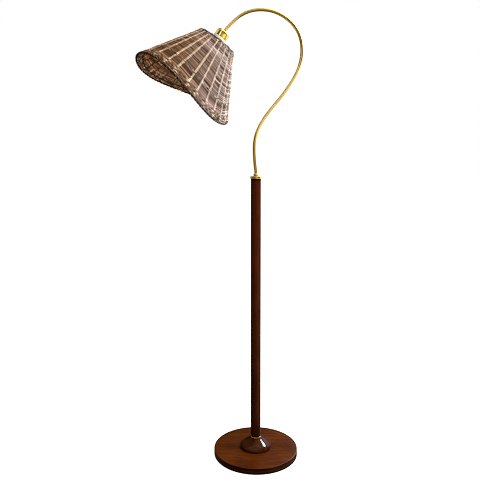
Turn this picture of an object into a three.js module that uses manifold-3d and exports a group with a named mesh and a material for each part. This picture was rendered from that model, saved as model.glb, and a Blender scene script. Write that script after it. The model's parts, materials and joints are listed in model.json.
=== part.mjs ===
// Floor lamp: weighted round wooden base, turned wooden pole, a brass arm bent
// into a tall hook, and a woven rattan shade whose rim waves up and down twice.
//
// Millimetres, +Z up. The origin is the centre of the underside of the base.
// The arm lies in the plane Y = 0 and leans over towards -X. +Y is the back,
// where the base has its cable entry.
//
// Three bodies move on each other:
//   stand  base, pole, pole cap
//   arm    turns about the vertical axis of the pole, in the pole cap
//   shade  turns about the slanted axis of the lampholder

import * as THREE from 'three';
import { mergeVertices } from 'three/addons/utils/BufferGeometryUtils.js';
import Module from 'manifold-3d';

const wasm = await Module();
wasm.setup();

// ---------------------------------------------------------------- dimensions

const GAP = 0.3;                 // clearance between two pieces that touch

// base
const BASE_R = 143;
const BASE_TOP = 22;
const BASE_FOOT = 0.4;           // underside of the rim round the felt
const BASE_BOTTOM = 1.9;         // underside behind the felt
const BASE_EDGE = 2.2;           // rounding of the upper edge
const PAD_R = 131;
const PAD_T = 1.6;
const RECESS_R = 114;            // recess for the weight, in the underside
const RECESS_TOP = 12.3;
const HUB_R = 15;                // well in the middle, up into the bun
const WEIGHT_R = 112;
const WEIGHT_HOLE_R = 27;
const WEIGHT_LOW = 2.2;
const WEIGHT_TOP = 12.0;
const WEIGHT_SCREW_CIRCLE = 72;
const CABLE_Z = 14.95;           // height of the cable duct in the base
const GLAND_HOLE_R = 4.6;

// bun between base and pole
const BUN_LOW = BASE_TOP + GAP;
const BUN_TOP = 57.3;
const BUN_WELL_TOP = 38.3;

// brass ring under the pole
const RING_R = 16.9;
const RING_LOW = BUN_TOP + GAP;
const RING_TOP = RING_LOW + 3.0;

// pole
const POLE_R = 17;
const POLE_LOW = RING_TOP + GAP;
const POLE_TOP = 948.6;
const POLE_BORE_R = 6.2;
const POLE_SOCKET_R = 9.9;       // counterbore for the spigot of the cap
const POLE_SOCKET_LOW = 902;

// hollow threaded rod that pulls base bun, ring, pole and cap together
const ROD_R = 5.0;
const ROD_BORE_R = 3.3;
const ROD_LOW = 28.5;
const ROD_TOP = 917;
const ROD_CLEAR_R = 5.6;

// brass cap on the pole, with the bearing of the arm
const CAP_R = 18.9;
const CAP_LOW = POLE_TOP + GAP;
const CAP_TOP = 956.6;
const CAP_SPIGOT_R = 9.5;
const CAP_SPIGOT_LOW = 904;
const JOURNAL_BORE_R = 6.9;
const JOURNAL_BORE_LOW = 921;
const SET_SCREW_Z = 953.0;

// arm: collar with journal, bent tube
const COLLAR_R = 8.0;
const COLLAR_LOW = CAP_TOP + 0.35;
const COLLAR_TOP = 965.6;
const JOURNAL_R = 6.6;
const JOURNAL_LOW = 923;
const GROOVE_R = 5.75;           // bottom of the stop groove in the journal
const GROOVE_HALF_ANGLE = 168;   // degrees each way from the set screw
const TUBE_R = 5.0;
const TUBE_BORE_R = 3.9;
const TUBE_LOW = 930;

// centre line of the tube in the plane of the arm, [x, z], from the pole cap
// over the hook and down to the lampholder
const TUBE_LINE = [
  [0, TUBE_LOW], [0, 948], [0, 967], [-1.2, 979.5], [-3.0, 995], [-4.8, 1018],
  [-5.7, 1044], [-4.6, 1068.4], [0.7, 1094.1], [9.5, 1116.5], [22.8, 1140.5],
  [39.2, 1164.4], [57.9, 1187.6], [76.9, 1210.4], [94.8, 1233.5], [111.4, 1257],
  [126.1, 1281.7], [138.1, 1307.6], [146.2, 1334.3], [149.4, 1361.6],
  [147.9, 1388.8], [140.5, 1415.9], [125.9, 1441.3], [105.3, 1462.8],
  [81.1, 1479.4], [54.0, 1490.6], [25.9, 1495.7], [-2.4, 1494.9],
  [-28.2, 1488.2], [-51.0, 1476.7], [-70.2, 1461.7], [-84.8, 1447.7],
  [-97.6, 1434.55], [-102.6, 1427.7], [-107.3, 1421.3],
];

// lampholder and shade: their common axis starts at the centre of the upper
// ring of the shade and points back up into the tube
const AXIS_X = -125.3;
const AXIS_Z = 1396.7;
const AXIS_TILT = 36.2;          // degrees from the vertical

const HOLDER_R = 22;

// shade, in its own frame: z along the axis, 0 at the upper edge, x and y
// across, x in the plane of the arm
const SHADE_TOP_R = 65;
const SHADE_RIM_R = 184;
const SHADE_HEIGHT = 197.2;
const WAVE_H = 24.6;             // rise and fall of the rim
const WAVE_R = -5.5;             // the rim is a little narrower where it is long
const WAVE_PHASE = 33.0;         // degrees
const RIM_TILT = -3.5;
const SKIN_T = 4.4;              // thickness of the weave
const BRAID_R = 4.8;             // braid along the rim
const BORDER_R = 3.3;            // border along the upper edge
const RIM_WIRE_R = 1.7;
const CARRIER_WIRE_R = 1.8;

const rad = (d) => (d * Math.PI) / 180;
const rimDepth = (a) => SHADE_HEIGHT + WAVE_H * Math.cos(2 * (a + rad(WAVE_PHASE))) + RIM_TILT * Math.cos(a);
const rimRadius = (a) => SHADE_RIM_R + WAVE_R * Math.cos(2 * (a + rad(WAVE_PHASE)));

// ---------------------------------------------------------------- materials

const mat = (color, roughness, metalness) => new THREE.MeshStandardMaterial({ color, roughness, metalness });
const WOOD_BASE = () => mat(0x5c2a10, 0.28, 0);
const WOOD_POLE = () => mat(0x3c1a0c, 0.3, 0);
const BRASS = () => mat(0xc9a02c, 0.2, 1);
const STEEL = () => mat(0x8d8f92, 0.45, 1);
const CAST = () => mat(0x3a3b3d, 0.6, 0.9);
const RATTAN = () => mat(0x86705c, 0.75, 0);
const RATTAN_DARK = () => mat(0x5a3d26, 0.75, 0);
const FELT = () => mat(0x1b1a19, 0.95, 0);
const BLACK = () => mat(0x141414, 0.5, 0);
const CERAMIC = () => mat(0xe9e6df, 0.35, 0);
const GLASS = () => mat(0xf4f1ea, 0.25, 0);
const LEAD = () => mat(0xc8c2b4, 0.6, 0);
const GASKET = () => mat(0xe8e3da, 0.55, 0);

// ------------------------------------------------------------------ helpers

// one closed body with merged corners and its faces pointing out
function solid(geometry) {
  const g = geometry.clone();
  for (const name of Object.keys(g.attributes)) if (name !== 'position') g.deleteAttribute(name);
  g.clearGroups();
  const m = mergeVertices(g, 1e-4);
  const p = m.attributes.position;
  const idx = m.index.array;
  const keep = [];
  let volume = 0;
  for (let i = 0; i < idx.length; i += 3) {
    const [a, b, c] = [idx[i], idx[i + 1], idx[i + 2]];
    if (a === b || b === c || c === a) continue;
    keep.push(a, b, c);
    volume += p.getX(a) * (p.getY(b) * p.getZ(c) - p.getZ(b) * p.getY(c))
      - p.getY(a) * (p.getX(b) * p.getZ(c) - p.getZ(b) * p.getX(c))
      + p.getZ(a) * (p.getX(b) * p.getY(c) - p.getY(b) * p.getX(c));
  }
  if (volume < 0) for (let i = 0; i < keep.length; i += 3) [keep[i], keep[i + 1]] = [keep[i + 1], keep[i]];
  m.setIndex(keep);
  return m;
}

function toManifold(geometry) {
  const g = solid(geometry);
  return new wasm.Manifold(new wasm.Mesh({
    numProp: 3,
    vertProperties: new Float32Array(g.attributes.position.array),
    triVerts: new Uint32Array(g.index.array),
  }));
}

function toGeometry(manifold) {
  const mesh = manifold.getMesh();
  const g = new THREE.BufferGeometry();
  const n = mesh.vertProperties.length / mesh.numProp;
  const pos = new Float32Array(n * 3);
  for (let i = 0; i < n; i++) for (let k = 0; k < 3; k++) pos[3 * i + k] = mesh.vertProperties[i * mesh.numProp + k];
  g.setAttribute('position', new THREE.BufferAttribute(pos, 3));
  g.setIndex(Array.from(mesh.triVerts));
  return g;
}

const cut = (body, ...tools) => toGeometry(tools.reduce((m, t) => m.subtract(toManifold(t)), toManifold(body)));
const join = (body, ...more) => toGeometry(more.reduce((m, t) => m.add(toManifold(t)), toManifold(body)));

// turned piece about +Z from a profile of [radius, height] points
function turned(profile, segments) {
  const g = new THREE.LatheGeometry(profile.map(([r, z]) => new THREE.Vector2(r, z)), segments);
  g.rotateX(Math.PI / 2);
  return g;
}

// turned ring or bushing: the profile closes on itself
const turnedRing = (profile, segments) => turned([...profile, profile[0]], segments);

// plain disc or rod along +Z between two heights
const rod = (r, low, high, segments) => turned([[0, low], [r, low], [r, high], [0, high]], segments);

// plain tube along +Z
const pipe = (inner, outer, low, high, segments) => turnedRing([[inner, low], [outer, low], [outer, high], [inner, high]], segments);

const alongY = (g, x, y, z) => g.rotateX(-Math.PI / 2).translate(x, y, z);

// closed ring of points as a shape, for sections that are swept
function circlePoints(r, n) {
  const out = [];
  for (let i = 0; i < n; i++) out.push(new THREE.Vector2(r * Math.cos((2 * Math.PI * i) / n), r * Math.sin((2 * Math.PI * i) / n)));
  return out;
}

function swept(path, r, sides, steps, bore = 0, boreSides = 8) {
  const shape = new THREE.Shape(circlePoints(r, sides));
  if (bore > 0) shape.holes.push(new THREE.Path(circlePoints(bore, boreSides).reverse()));
  return new THREE.ExtrudeGeometry(shape, { steps, bevelEnabled: false, extrudePath: path, curveSegments: 1 });
}

const curveXZ = (line) => new THREE.CatmullRomCurve3(line.map(([x, z]) => new THREE.Vector3(x, 0, z)), false, 'centripetal');

const root = new THREE.Group();
const holderGroup = new THREE.Group();
holderGroup.position.set(AXIS_X, 0, AXIS_Z);
holderGroup.rotation.set(0, rad(AXIS_TILT), 0);
root.add(holderGroup);

function add(name, geometry, material, parent = root) {
  const mesh = new THREE.Mesh(solid(geometry), material);
  mesh.name = name;
  parent.add(mesh);
  return mesh;
}

// ------------------------------------------------------------------- stand

// felt disc let into the underside of the base
add('base_pad', rod(PAD_R, 0, PAD_T, 48), FELT());

// wooden disc with a recess for the weight, a cable duct to the back and
// pilot holes for the screws
{
  const edge = [];
  for (let i = 0; i <= 3; i++) {
    const a = rad(90 * i / 3);
    edge.push([BASE_R - BASE_EDGE + BASE_EDGE * Math.cos(a), BASE_TOP - BASE_EDGE + BASE_EDGE * Math.sin(a)]);
  }
  const disc = turnedRing([
    [RECESS_R, BASE_BOTTOM], [PAD_R + GAP, BASE_BOTTOM], [PAD_R + GAP, BASE_FOOT], [BASE_R - 0.6, BASE_FOOT], [BASE_R, BASE_FOOT + 0.6],
    ...edge, [HUB_R, BASE_TOP], [HUB_R, RECESS_TOP], [RECESS_R, RECESS_TOP],
  ], 48);
  const duct = new THREE.BoxGeometry(7, 112, 18 - (RECESS_TOP - 1)).translate(0, 8 + 56, (18 + RECESS_TOP - 1) / 2);
  const entry = alongY(rod(GLAND_HOLE_R, 0, 44, 20), 0, 106, CABLE_Z);
  const pilots = [];
  for (let i = 0; i < 3; i++) {
    const a = rad(30 + 120 * i);
    pilots.push(rod(1.9, RECESS_TOP - 1, 19.6, 10).translate(WEIGHT_SCREW_CIRCLE * Math.cos(a), WEIGHT_SCREW_CIRCLE * Math.sin(a), 0));
  }
  add('base_disc', cut(disc, duct, entry, ...pilots), WOOD_BASE());
}

// steel weight with countersunk holes
{
  const plate = pipe(WEIGHT_HOLE_R, WEIGHT_R, WEIGHT_LOW, WEIGHT_TOP, 40);
  const holes = [];
  for (let i = 0; i < 3; i++) {
    const a = rad(30 + 120 * i);
    holes.push(turned([[0, WEIGHT_LOW - 1], [5.4, WEIGHT_LOW - 1], [5.4, WEIGHT_LOW + 0.7], [2.5, WEIGHT_LOW + 3.6], [2.5, WEIGHT_TOP + 1], [0, WEIGHT_TOP + 1]], 12)
      .translate(WEIGHT_SCREW_CIRCLE * Math.cos(a), WEIGHT_SCREW_CIRCLE * Math.sin(a), 0));
  }
  add('base_weight', cut(plate, ...holes), CAST());
  for (let i = 0; i < 3; i++) {
    const a = rad(30 + 120 * i);
    const screw = turned([[0, WEIGHT_LOW + 0.4], [4.6, WEIGHT_LOW + 0.4], [4.6, WEIGHT_LOW + 0.8], [1.6, WEIGHT_LOW + 3.8], [1.6, 17.2], [0, 19.2]], 12)
      .translate(WEIGHT_SCREW_CIRCLE * Math.cos(a), WEIGHT_SCREW_CIRCLE * Math.sin(a), 0);
    add(`weight_screw_${i + 1}`, screw, STEEL());
  }
}

// flanged rubber bush in the cable entry at the back
{
  const bush = alongY(turnedRing([[2.9, 0], [GLAND_HOLE_R - GAP, 0], [GLAND_HOLE_R - GAP, 15.1], [6.6, 15.1], [6.6, 17.2], [5.4, 18.4], [2.9, 18.4]], 20), 0, 128.2, CABLE_Z);
  add('cable_bush', bush, BLACK());
}

// two-pole terminal block in the well, where the supply cable would end
{
  const block = new THREE.BoxGeometry(17, 13, 8.6);
  const wires = [-4.2, 4.2].map((x) => alongY(rod(1.7, -8, 8, 10), x, 0, 0));
  add('terminal_block', cut(block, ...wires).translate(0, -17, 7), CERAMIC());
}

// turned wooden bun, glued to the base disc, hollow for the nut
{
  const profile = [
    [HUB_R, BUN_LOW], [50.4, BUN_LOW], [52.8, BUN_LOW + 2.6], [53.1, BUN_LOW + 6.2],
    [50.4, BUN_LOW + 12.0], [44.6, BUN_LOW + 17.6], [34.4, BUN_LOW + 25.0],
    [23.4, BUN_LOW + 32.3], [17.2, BUN_TOP], [ROD_CLEAR_R, BUN_TOP], [ROD_CLEAR_R, BUN_WELL_TOP], [HUB_R, BUN_WELL_TOP],
  ];
  add('base_bun', turnedRing(profile, 40), WOOD_BASE());
}

add('bun_ring', turnedRing([
  [ROD_CLEAR_R, RING_LOW], [RING_R - 0.9, RING_LOW], [RING_R, RING_LOW + 0.8], [RING_R, RING_TOP - 0.8], [RING_R - 0.9, RING_TOP], [ROD_CLEAR_R, RING_TOP],
], 28), BRASS());

add('pole', turnedRing([
  [POLE_BORE_R, POLE_LOW], [POLE_R - 0.8, POLE_LOW], [POLE_R, POLE_LOW + 0.8], [POLE_R, POLE_TOP - 1.4], [POLE_R - 1.2, POLE_TOP],
  [POLE_SOCKET_R, POLE_TOP], [POLE_SOCKET_R, POLE_SOCKET_LOW], [POLE_BORE_R, POLE_SOCKET_LOW],
], 32), WOOD_POLE());

add('tie_rod', pipe(ROD_BORE_R, ROD_R, ROD_LOW, ROD_TOP, 16), STEEL());
add('tie_washer', pipe(ROD_R + GAP, 13.2, 36.2, 38.0, 20), STEEL());
{
  const hex = new THREE.CylinderGeometry(9.8, 9.8, 5.8, 6).rotateX(Math.PI / 2).translate(0, 0, 33.0);
  add('tie_nut', cut(hex, rod(ROD_R + GAP, 29, 37, 20)), STEEL());
}

// brass cap: flange over the end of the pole, spigot screwed on the tie rod,
// bearing bore for the arm, radial threaded hole for the set screw
{
  const cap = turnedRing([
    [ROD_R + GAP, CAP_SPIGOT_LOW], [CAP_SPIGOT_R, CAP_SPIGOT_LOW], [CAP_SPIGOT_R, CAP_LOW], [CAP_R - 0.8, CAP_LOW], [CAP_R, CAP_LOW + 0.8],
    [CAP_R, CAP_TOP - 1.2], [CAP_R - 1.2, CAP_TOP], [JOURNAL_BORE_R, CAP_TOP], [JOURNAL_BORE_R, JOURNAL_BORE_LOW], [ROD_R + GAP, JOURNAL_BORE_LOW - 2],
  ], 32);
  add('pole_cap', cut(cap, alongY(rod(1.8, 0, 24, 12), 0, 3, SET_SCREW_Z)), BRASS());
}

// headless set screw at the back of the cap: its tip runs in the groove of
// the journal, holds the arm down and stops it at both ends of the groove
{
  const screw = alongY(turned([[0, 0], [1.15, 0], [1.15, 1.0], [1.5, 1.4], [1.5, 11.2], [0, 11.2]], 12), 0, 6.15, SET_SCREW_Z);
  const slot = new THREE.BoxGeometry(4, 1.2, 0.6).translate(0, 17.1, SET_SCREW_Z);
  add('cap_set_screw', cut(screw, slot), STEEL());
}

// lead from the terminal block up through the tie rod
{
  const path = new THREE.CatmullRomCurve3([
    new THREE.Vector3(0, -9.0, 7.4), new THREE.Vector3(0, -4.8, 9.0), new THREE.Vector3(0, -1.2, 15), new THREE.Vector3(0, 0, 26),
    new THREE.Vector3(0, 0, 60), new THREE.Vector3(0, 0, 300), new THREE.Vector3(0, 0, 620), new THREE.Vector3(0, 0, 921),
  ], false, 'centripetal');
  add('lead_lower', swept(path, 1.9, 6, 44), LEAD());
}

// --------------------------------------------------------------------- arm

// brass collar soldered to the tube, with the journal below it
{
  const collar = turnedRing([
    [TUBE_R + GAP, JOURNAL_LOW], [JOURNAL_R, JOURNAL_LOW], [JOURNAL_R, COLLAR_LOW], [COLLAR_R - 0.6, COLLAR_LOW], [COLLAR_R, COLLAR_LOW + 0.7],
    [COLLAR_R, COLLAR_TOP - 2.2], [COLLAR_R - 0.9, COLLAR_TOP - 0.7], [COLLAR_R - 2.1, COLLAR_TOP], [TUBE_R + GAP, COLLAR_TOP],
  ], 24);
  // groove over most of a turn, centred on the back
  const h = 1.7;
  const section = [[GROOVE_R, SET_SCREW_Z - h], [9, SET_SCREW_Z - h], [9, SET_SCREW_Z + h], [GROOVE_R, SET_SCREW_Z + h]].map(([r, z]) => new THREE.Vector2(r, z));
  const groove = arcRing(section, 24, rad(90 - GROOVE_HALF_ANGLE), rad(2 * GROOVE_HALF_ANGLE));
  add('swivel_collar', cut(collar, groove), BRASS());
}

// part of a ring about +Z: a section turned over an angle, with closed ends
function arcRing(section, segments, start, sweep) {
  const pos = [];
  const idx = [];
  const n = section.length;
  for (let i = 0; i <= segments; i++) {
    const a = start + (sweep * i) / segments;
    for (const s of section) pos.push(s.x * Math.cos(a), s.x * Math.sin(a), s.y);
  }
  for (let i = 0; i < segments; i++) {
    for (let k = 0; k < n; k++) {
      const a = i * n + k;
      const b = i * n + ((k + 1) % n);
      idx.push(a, b, b + n, a, b + n, a + n);
    }
  }
  for (let k = 1; k < n - 1; k++) {
    idx.push(0, k + 1, k);
    const o = segments * n;
    idx.push(o, o + k, o + k + 1);
  }
  const g = new THREE.BufferGeometry();
  g.setAttribute('position', new THREE.BufferAttribute(new Float32Array(pos), 3));
  g.setIndex(idx);
  return g;
}

add('arm_tube', swept(curveXZ(TUBE_LINE), TUBE_R, 10, 54, TUBE_BORE_R, 6), BRASS());

// lead inside the tube, down to the terminals of the lampholder
{
  const line = [[0, 921.6], ...TUBE_LINE.slice(1, -1), [-111.1, 1415.9], [-113.3, 1413.0]];
  add('lead_upper', swept(curveXZ(line), 1.9, 6, 46), LEAD());
}

// -- lampholder, in the slanted frame: z = 0 at the upper edge of the shade

// domed cap with the threaded neck that takes the tube
add('holder_cap', turnedRing([
  [TUBE_R + GAP, 34.4], [14.6, 34.4], [19.0, 31.6], [20.2, 29.6], [HOLDER_R, 29.6], [HOLDER_R, 31.0], [20.4, 34.5], [16.2, 37.7],
  [10.6, 40.2], [6.8, 41.5], [TUBE_R + GAP, 41.7],
], 24), BRASS(), holderGroup);

// lock nut inside the cap
{
  const hex = new THREE.CylinderGeometry(8.4, 8.4, 3.0, 6).rotateX(Math.PI / 2).translate(0, 0, 32.6);
  add('holder_lock_nut', cut(hex, rod(TUBE_R + GAP, 28, 38, 20)), STEEL(), holderGroup);
}

// brass outer shell: cup, neck, flange for the shade, and the threaded skirt
add('holder_shell', turnedRing([
  [18.6, -34], [19.4, -34], [19.4, -6.6], [22.6, -6.6], [23.4, -5.8], [23.4, 6.2], [22.6, 7.0], [19.4, 7.0], [19.4, 14.2], [HOLDER_R - 0.4, 14.2],
  [HOLDER_R, 14.6], [HOLDER_R, 29.3], [20.6, 29.3], [20.6, 15.6], [18.6, 15.0],
], 28), BRASS(), holderGroup);

// pale gasket ring round the neck of the shell
add('holder_gasket', turnedRing([
  [19.4 + GAP, 7.3], [22.0, 7.3], [22.4, 7.9], [22.4, 13.3], [22.0, 13.9], [19.4 + GAP, 13.9],
], 28), GASKET(), holderGroup);

// ceramic insert with a socket below and two bores for the terminals
{
  const insert = turnedRing([
    [4.6, 8.2], [4.6, 3.6], [14.9, 3.6], [14.9, -27.4], [17.8, -27.4], [17.8, -3.4], [18.2, -1.6], [18.2, 16.2], [20.1, 16.2], [20.1, 18.6], [4.6, 18.6],
  ], 24);
  const bores = [-11.5, 11.5].map((y) => rod(2.3, 8.2, 20, 12).translate(0, y, 0));
  add('holder_insert', cut(insert, ...bores), CERAMIC(), holderGroup);
}

// two terminal screws in their bores
for (const [i, y] of [[1, -11.5], [2, 11.5]]) {
  add(`terminal_screw_${i}`, turned([[0, 9.4], [1.9, 9.4], [1.9, 17.2], [0, 17.2]], 12).translate(0, y, 0), BRASS(), holderGroup);
}

// screw shell for the bulb, with rounded threads
{
  const outer = [];
  const inner = [];
  for (let i = 0; i <= 8; i++) {
    const z = -25.6 + i * 3.15;
    const k = i % 2 ? 0.45 : 0;
    outer.push([14.45 - k, z]);
    inner.push([13.95 - k, z]);
  }
  add('screw_shell', turnedRing([...outer, ...inner.reverse()], 20), BRASS(), holderGroup);
}

// sprung centre contact
add('centre_contact', turned([[0, -0.6], [3.4, -0.2], [3.8, 0.6], [3.8, 3.0], [4.0, 3.0], [4.0, 7.4], [0, 7.4]], 12), BRASS(), holderGroup);

// threaded ring that clamps the carrier of the shade against the shell
{
  const body = [[19.9, -15.2], [24.6, -15.2], [25.4, -14.2], [25.4, -10.2], [24.8, -9.4], [19.9, -9.4]];
  add('shade_clamp_ring', turnedRing(body, 28), BRASS(), holderGroup);
}

// bulb with a screw cap
{
  const shape = [[13.2, -28.6], [14.8, -34], [17.6, -46], [24.2, -58], [29.2, -70], [30.0, -77.5], [28.2, -88.5], [20.4, -100.4], [8.4, -106.2], [0, -107]];
  const shellIn = [[0, -106.0], [8.2, -105.2], [19.7, -99.6], [27.2, -88.1], [29.0, -77.5], [28.2, -70.2], [23.3, -58.4], [16.7, -46.3], [13.9, -34.2], [12.3, -28.6]];
  add('bulb_glass', turned([...shape.reverse(), ...shellIn.reverse()], 20), GLASS(), holderGroup);
  const outer = [];
  for (let i = 0; i <= 6; i++) outer.push([13.0 - (i % 2 ? 0.6 : 0), -26.6 + i * 3.3]);
  add('bulb_cap', turnedRing([
    [11.7, -28.2], [13.0, -28.2], ...outer, [9.0, -3.6], [6.2, -3.2], [6.2, -4.4], [8.6, -4.8], [11.7, -8.2],
  ], 20), BRASS(), holderGroup);
  add('bulb_insulator', turnedRing([[3.2, -4.2], [5.9, -4.2], [5.9, -3.0], [4.4, -2.2], [3.2, -2.0]], 14), BLACK(), holderGroup);
  add('bulb_contact', turned([[0, -4.2], [2.8, -4.2], [2.9, -1.8], [1.6, -1.1], [0, -0.95]], 12), STEEL(), holderGroup);
}

// ------------------------------------------------------------------- shade

// Carrier: fitter ring under the lampholder, three arms, ring in the upper
// edge. Welded steel wire, one piece.
const CARRIER_RING_R = 58.6;
const CARRIER_RING_Z = -3.4;
{
  const fitter = pipe(20.4, 25.0, -8.9, -7.0, 28);
  const ring = new THREE.TorusGeometry(CARRIER_RING_R, CARRIER_WIRE_R, 6, 40).translate(0, 0, CARRIER_RING_Z);
  const arms = [0, 1, 2].map((i) => {
    const a = rad(100 + 120 * i);
    const c = Math.cos(a);
    const s = Math.sin(a);
    const path = new THREE.LineCurve3(new THREE.Vector3(23.4 * c, 23.4 * s, -8.0), new THREE.Vector3(CARRIER_RING_R * c, CARRIER_RING_R * s, CARRIER_RING_Z));
    return swept(path, 1.5, 6, 1);
  });
  add('shade_carrier', join(fitter, ring, ...arms), BRASS(), holderGroup);
}

// Ring swept along the wavy rim: offsets run inwards and upwards from the
// outermost line of the rim.
function wavyRing(inwards, upwards, r, sides, segments) {
  const g = new THREE.TorusGeometry(1, 0.5, sides, segments);
  const p = g.attributes.position;
  for (let i = 0; i < p.count; i++) {
    const x = p.getX(i);
    const y = p.getY(i);
    const a = Math.atan2(y, x);
    const across = (Math.hypot(x, y) - 1) / 0.5;
    const along = p.getZ(i) / 0.5;
    const centreR = rimRadius(a) - inwards;
    const centreZ = -(rimDepth(a) - upwards);
    p.setXYZ(i, (centreR + r * across) * Math.cos(a), (centreR + r * across) * Math.sin(a), centreZ + r * along);
  }
  return g;
}

// Woven skin: a shell from the upper border to the braid. Rows start round
// the axis at the top and end parallel to the wavy rim.
const SKIN_TOP_Z = -7.4;
const SKIN_TOP_R = SHADE_TOP_R + (-SKIN_TOP_Z) * (SHADE_RIM_R - SHADE_TOP_R) / SHADE_HEIGHT;
const SKIN_INSET = 4.4;
const SKIN_LIFT = 10.4;
function skinPoint(u, a, inside) {
  const z0 = SKIN_TOP_Z;
  const z1 = -(rimDepth(a) - SKIN_LIFT);
  const r1 = rimRadius(a) - SKIN_INSET - (SKIN_LIFT - 4) * 0.5;
  const z = z0 + (z1 - z0) * u;
  const r = SKIN_TOP_R + (r1 - SKIN_TOP_R) * u;
  const across = (SKIN_T / Math.cos(Math.atan2(r1 - SKIN_TOP_R, z0 - z1))) * (inside ? 1 : 0);
  return [r - across, z];
}
{
  const rows = 3;
  const profile = [];
  for (let i = 0; i <= rows; i++) profile.push(new THREE.Vector2(2, i / rows));
  for (let i = rows; i >= 0; i--) profile.push(new THREE.Vector2(1, i / rows));
  profile.push(profile[0].clone());
  const g = new THREE.LatheGeometry(profile, 60);
  const p = g.attributes.position;
  for (let i = 0; i < p.count; i++) {
    const a = Math.atan2(p.getX(i), p.getZ(i));
    const inside = Math.hypot(p.getX(i), p.getZ(i)) < 1.5;
    const [r, z] = skinPoint(p.getY(i), a, inside);
    p.setXYZ(i, r * Math.cos(a), r * Math.sin(a), z);
  }
  add('shade_skin', g, RATTAN(), holderGroup);
}

add('shade_border', new THREE.TorusGeometry(SHADE_TOP_R - 0.7, BORDER_R, 6, 44).translate(0, 0, -3.5), RATTAN_DARK(), holderGroup);
add('rim_braid', wavyRing(4.6, 4.6, BRAID_R, 6, 72), RATTAN_DARK(), holderGroup);
add('rim_wire', wavyRing(20.8, 16.5, RIM_WIRE_R, 5, 60), CAST(), holderGroup);

export default root;
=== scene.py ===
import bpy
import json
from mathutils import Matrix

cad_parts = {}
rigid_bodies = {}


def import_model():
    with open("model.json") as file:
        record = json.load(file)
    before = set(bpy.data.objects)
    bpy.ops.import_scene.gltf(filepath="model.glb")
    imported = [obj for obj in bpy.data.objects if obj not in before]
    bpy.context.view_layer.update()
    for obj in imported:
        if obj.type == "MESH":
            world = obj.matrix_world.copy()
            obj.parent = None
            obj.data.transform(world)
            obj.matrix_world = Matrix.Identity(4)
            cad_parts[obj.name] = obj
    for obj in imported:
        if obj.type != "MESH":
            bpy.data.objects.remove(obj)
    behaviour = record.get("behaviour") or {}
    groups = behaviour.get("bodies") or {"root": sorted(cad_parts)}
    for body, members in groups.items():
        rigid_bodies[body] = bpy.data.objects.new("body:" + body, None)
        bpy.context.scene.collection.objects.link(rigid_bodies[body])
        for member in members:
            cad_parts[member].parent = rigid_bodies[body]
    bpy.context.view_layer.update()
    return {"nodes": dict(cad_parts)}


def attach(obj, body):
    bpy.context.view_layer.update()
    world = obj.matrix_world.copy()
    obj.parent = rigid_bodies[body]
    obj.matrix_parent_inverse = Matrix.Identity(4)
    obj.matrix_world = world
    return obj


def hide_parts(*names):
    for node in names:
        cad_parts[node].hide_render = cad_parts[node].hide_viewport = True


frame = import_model()

# Floor lamp: weighted wooden base, turned pole, brass arm bent into a hook and
# a hand-woven rattan shade whose rim waves. Metres, +Z up, origin under the
# middle of the base. Lengths below are in millimetres and are scaled when a
# mesh is made.
import json
import math

import bpy
import numpy as np

MM = 0.001
rad = math.radians
rng = np.random.RandomState(20)

# ------------------------------------------------------------------ camera

F_PX, CAM_Y, CAM_Z, CAM_X = 564.33889, -1.87825524, 1.01077482, -0.05293226
PITCH, ROLL, ROW = rad(5.0), -0.00138, 209.37315

cam_data = bpy.data.cameras.new("camera")
cam = bpy.data.objects.new("camera", cam_data)
bpy.context.scene.collection.objects.link(cam)
bpy.context.scene.camera = cam
cam_data.sensor_fit = "HORIZONTAL"
cam_data.sensor_width = 36.0
cam_data.lens = F_PX / 480 * 36.0
cam_data.shift_y = (ROW - 240) / 480
cam_data.clip_start, cam_data.clip_end = 0.05, 100
from mathutils import Matrix, Vector

cr, sr, ct, st = math.cos(ROLL), math.sin(ROLL), math.cos(PITCH), math.sin(PITCH)
right, up, ahead = (cr, sr * st, sr * ct), (-sr, cr * st, cr * ct), (0, ct, -st)
cam.matrix_world = Matrix((
    (right[0], up[0], -ahead[0], CAM_X),
    (right[1], up[1], -ahead[1], CAM_Y),
    (right[2], up[2], -ahead[2], CAM_Z),
    (0, 0, 0, 1),
))

scene = bpy.context.scene
scene.view_settings.view_transform = "Standard"
scene.view_settings.look = "None"
scene.view_settings.exposure = 0.0
scene.view_settings.gamma = 1.0


# --------------------------------------------------------------- mesh tools

def mesh_from(name, verts, quads=(), tris=(), sharp=35.0):
    """One mesh object from points in millimetres, smooth except at sharp edges."""
    verts = np.asarray(verts, np.float64) * MM
    quads = np.asarray(quads, np.int32).reshape(-1, 4)
    tris = np.asarray(tris, np.int32).reshape(-1, 3)
    me = bpy.data.meshes.new(name)
    me.vertices.add(len(verts))
    me.vertices.foreach_set("co", verts.astype(np.float32).ravel())
    loops = np.concatenate([quads.ravel(), tris.ravel()]).astype(np.int32)
    me.loops.add(len(loops))
    me.loops.foreach_set("vertex_index", loops)
    starts = np.concatenate([np.arange(len(quads)) * 4, len(quads) * 4 + np.arange(len(tris)) * 3]).astype(np.int32)
    me.polygons.add(len(starts))
    me.polygons.foreach_set("loop_start", starts)
    me.update(calc_edges=True)
    me.polygons.foreach_set("use_smooth", np.ones(len(starts), bool))
    if sharp is not None:
        me.set_sharp_from_angle(angle=rad(sharp))
    me.update()
    ob = bpy.data.objects.new(name, me)
    scene.collection.objects.link(ob)
    return ob


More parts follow.
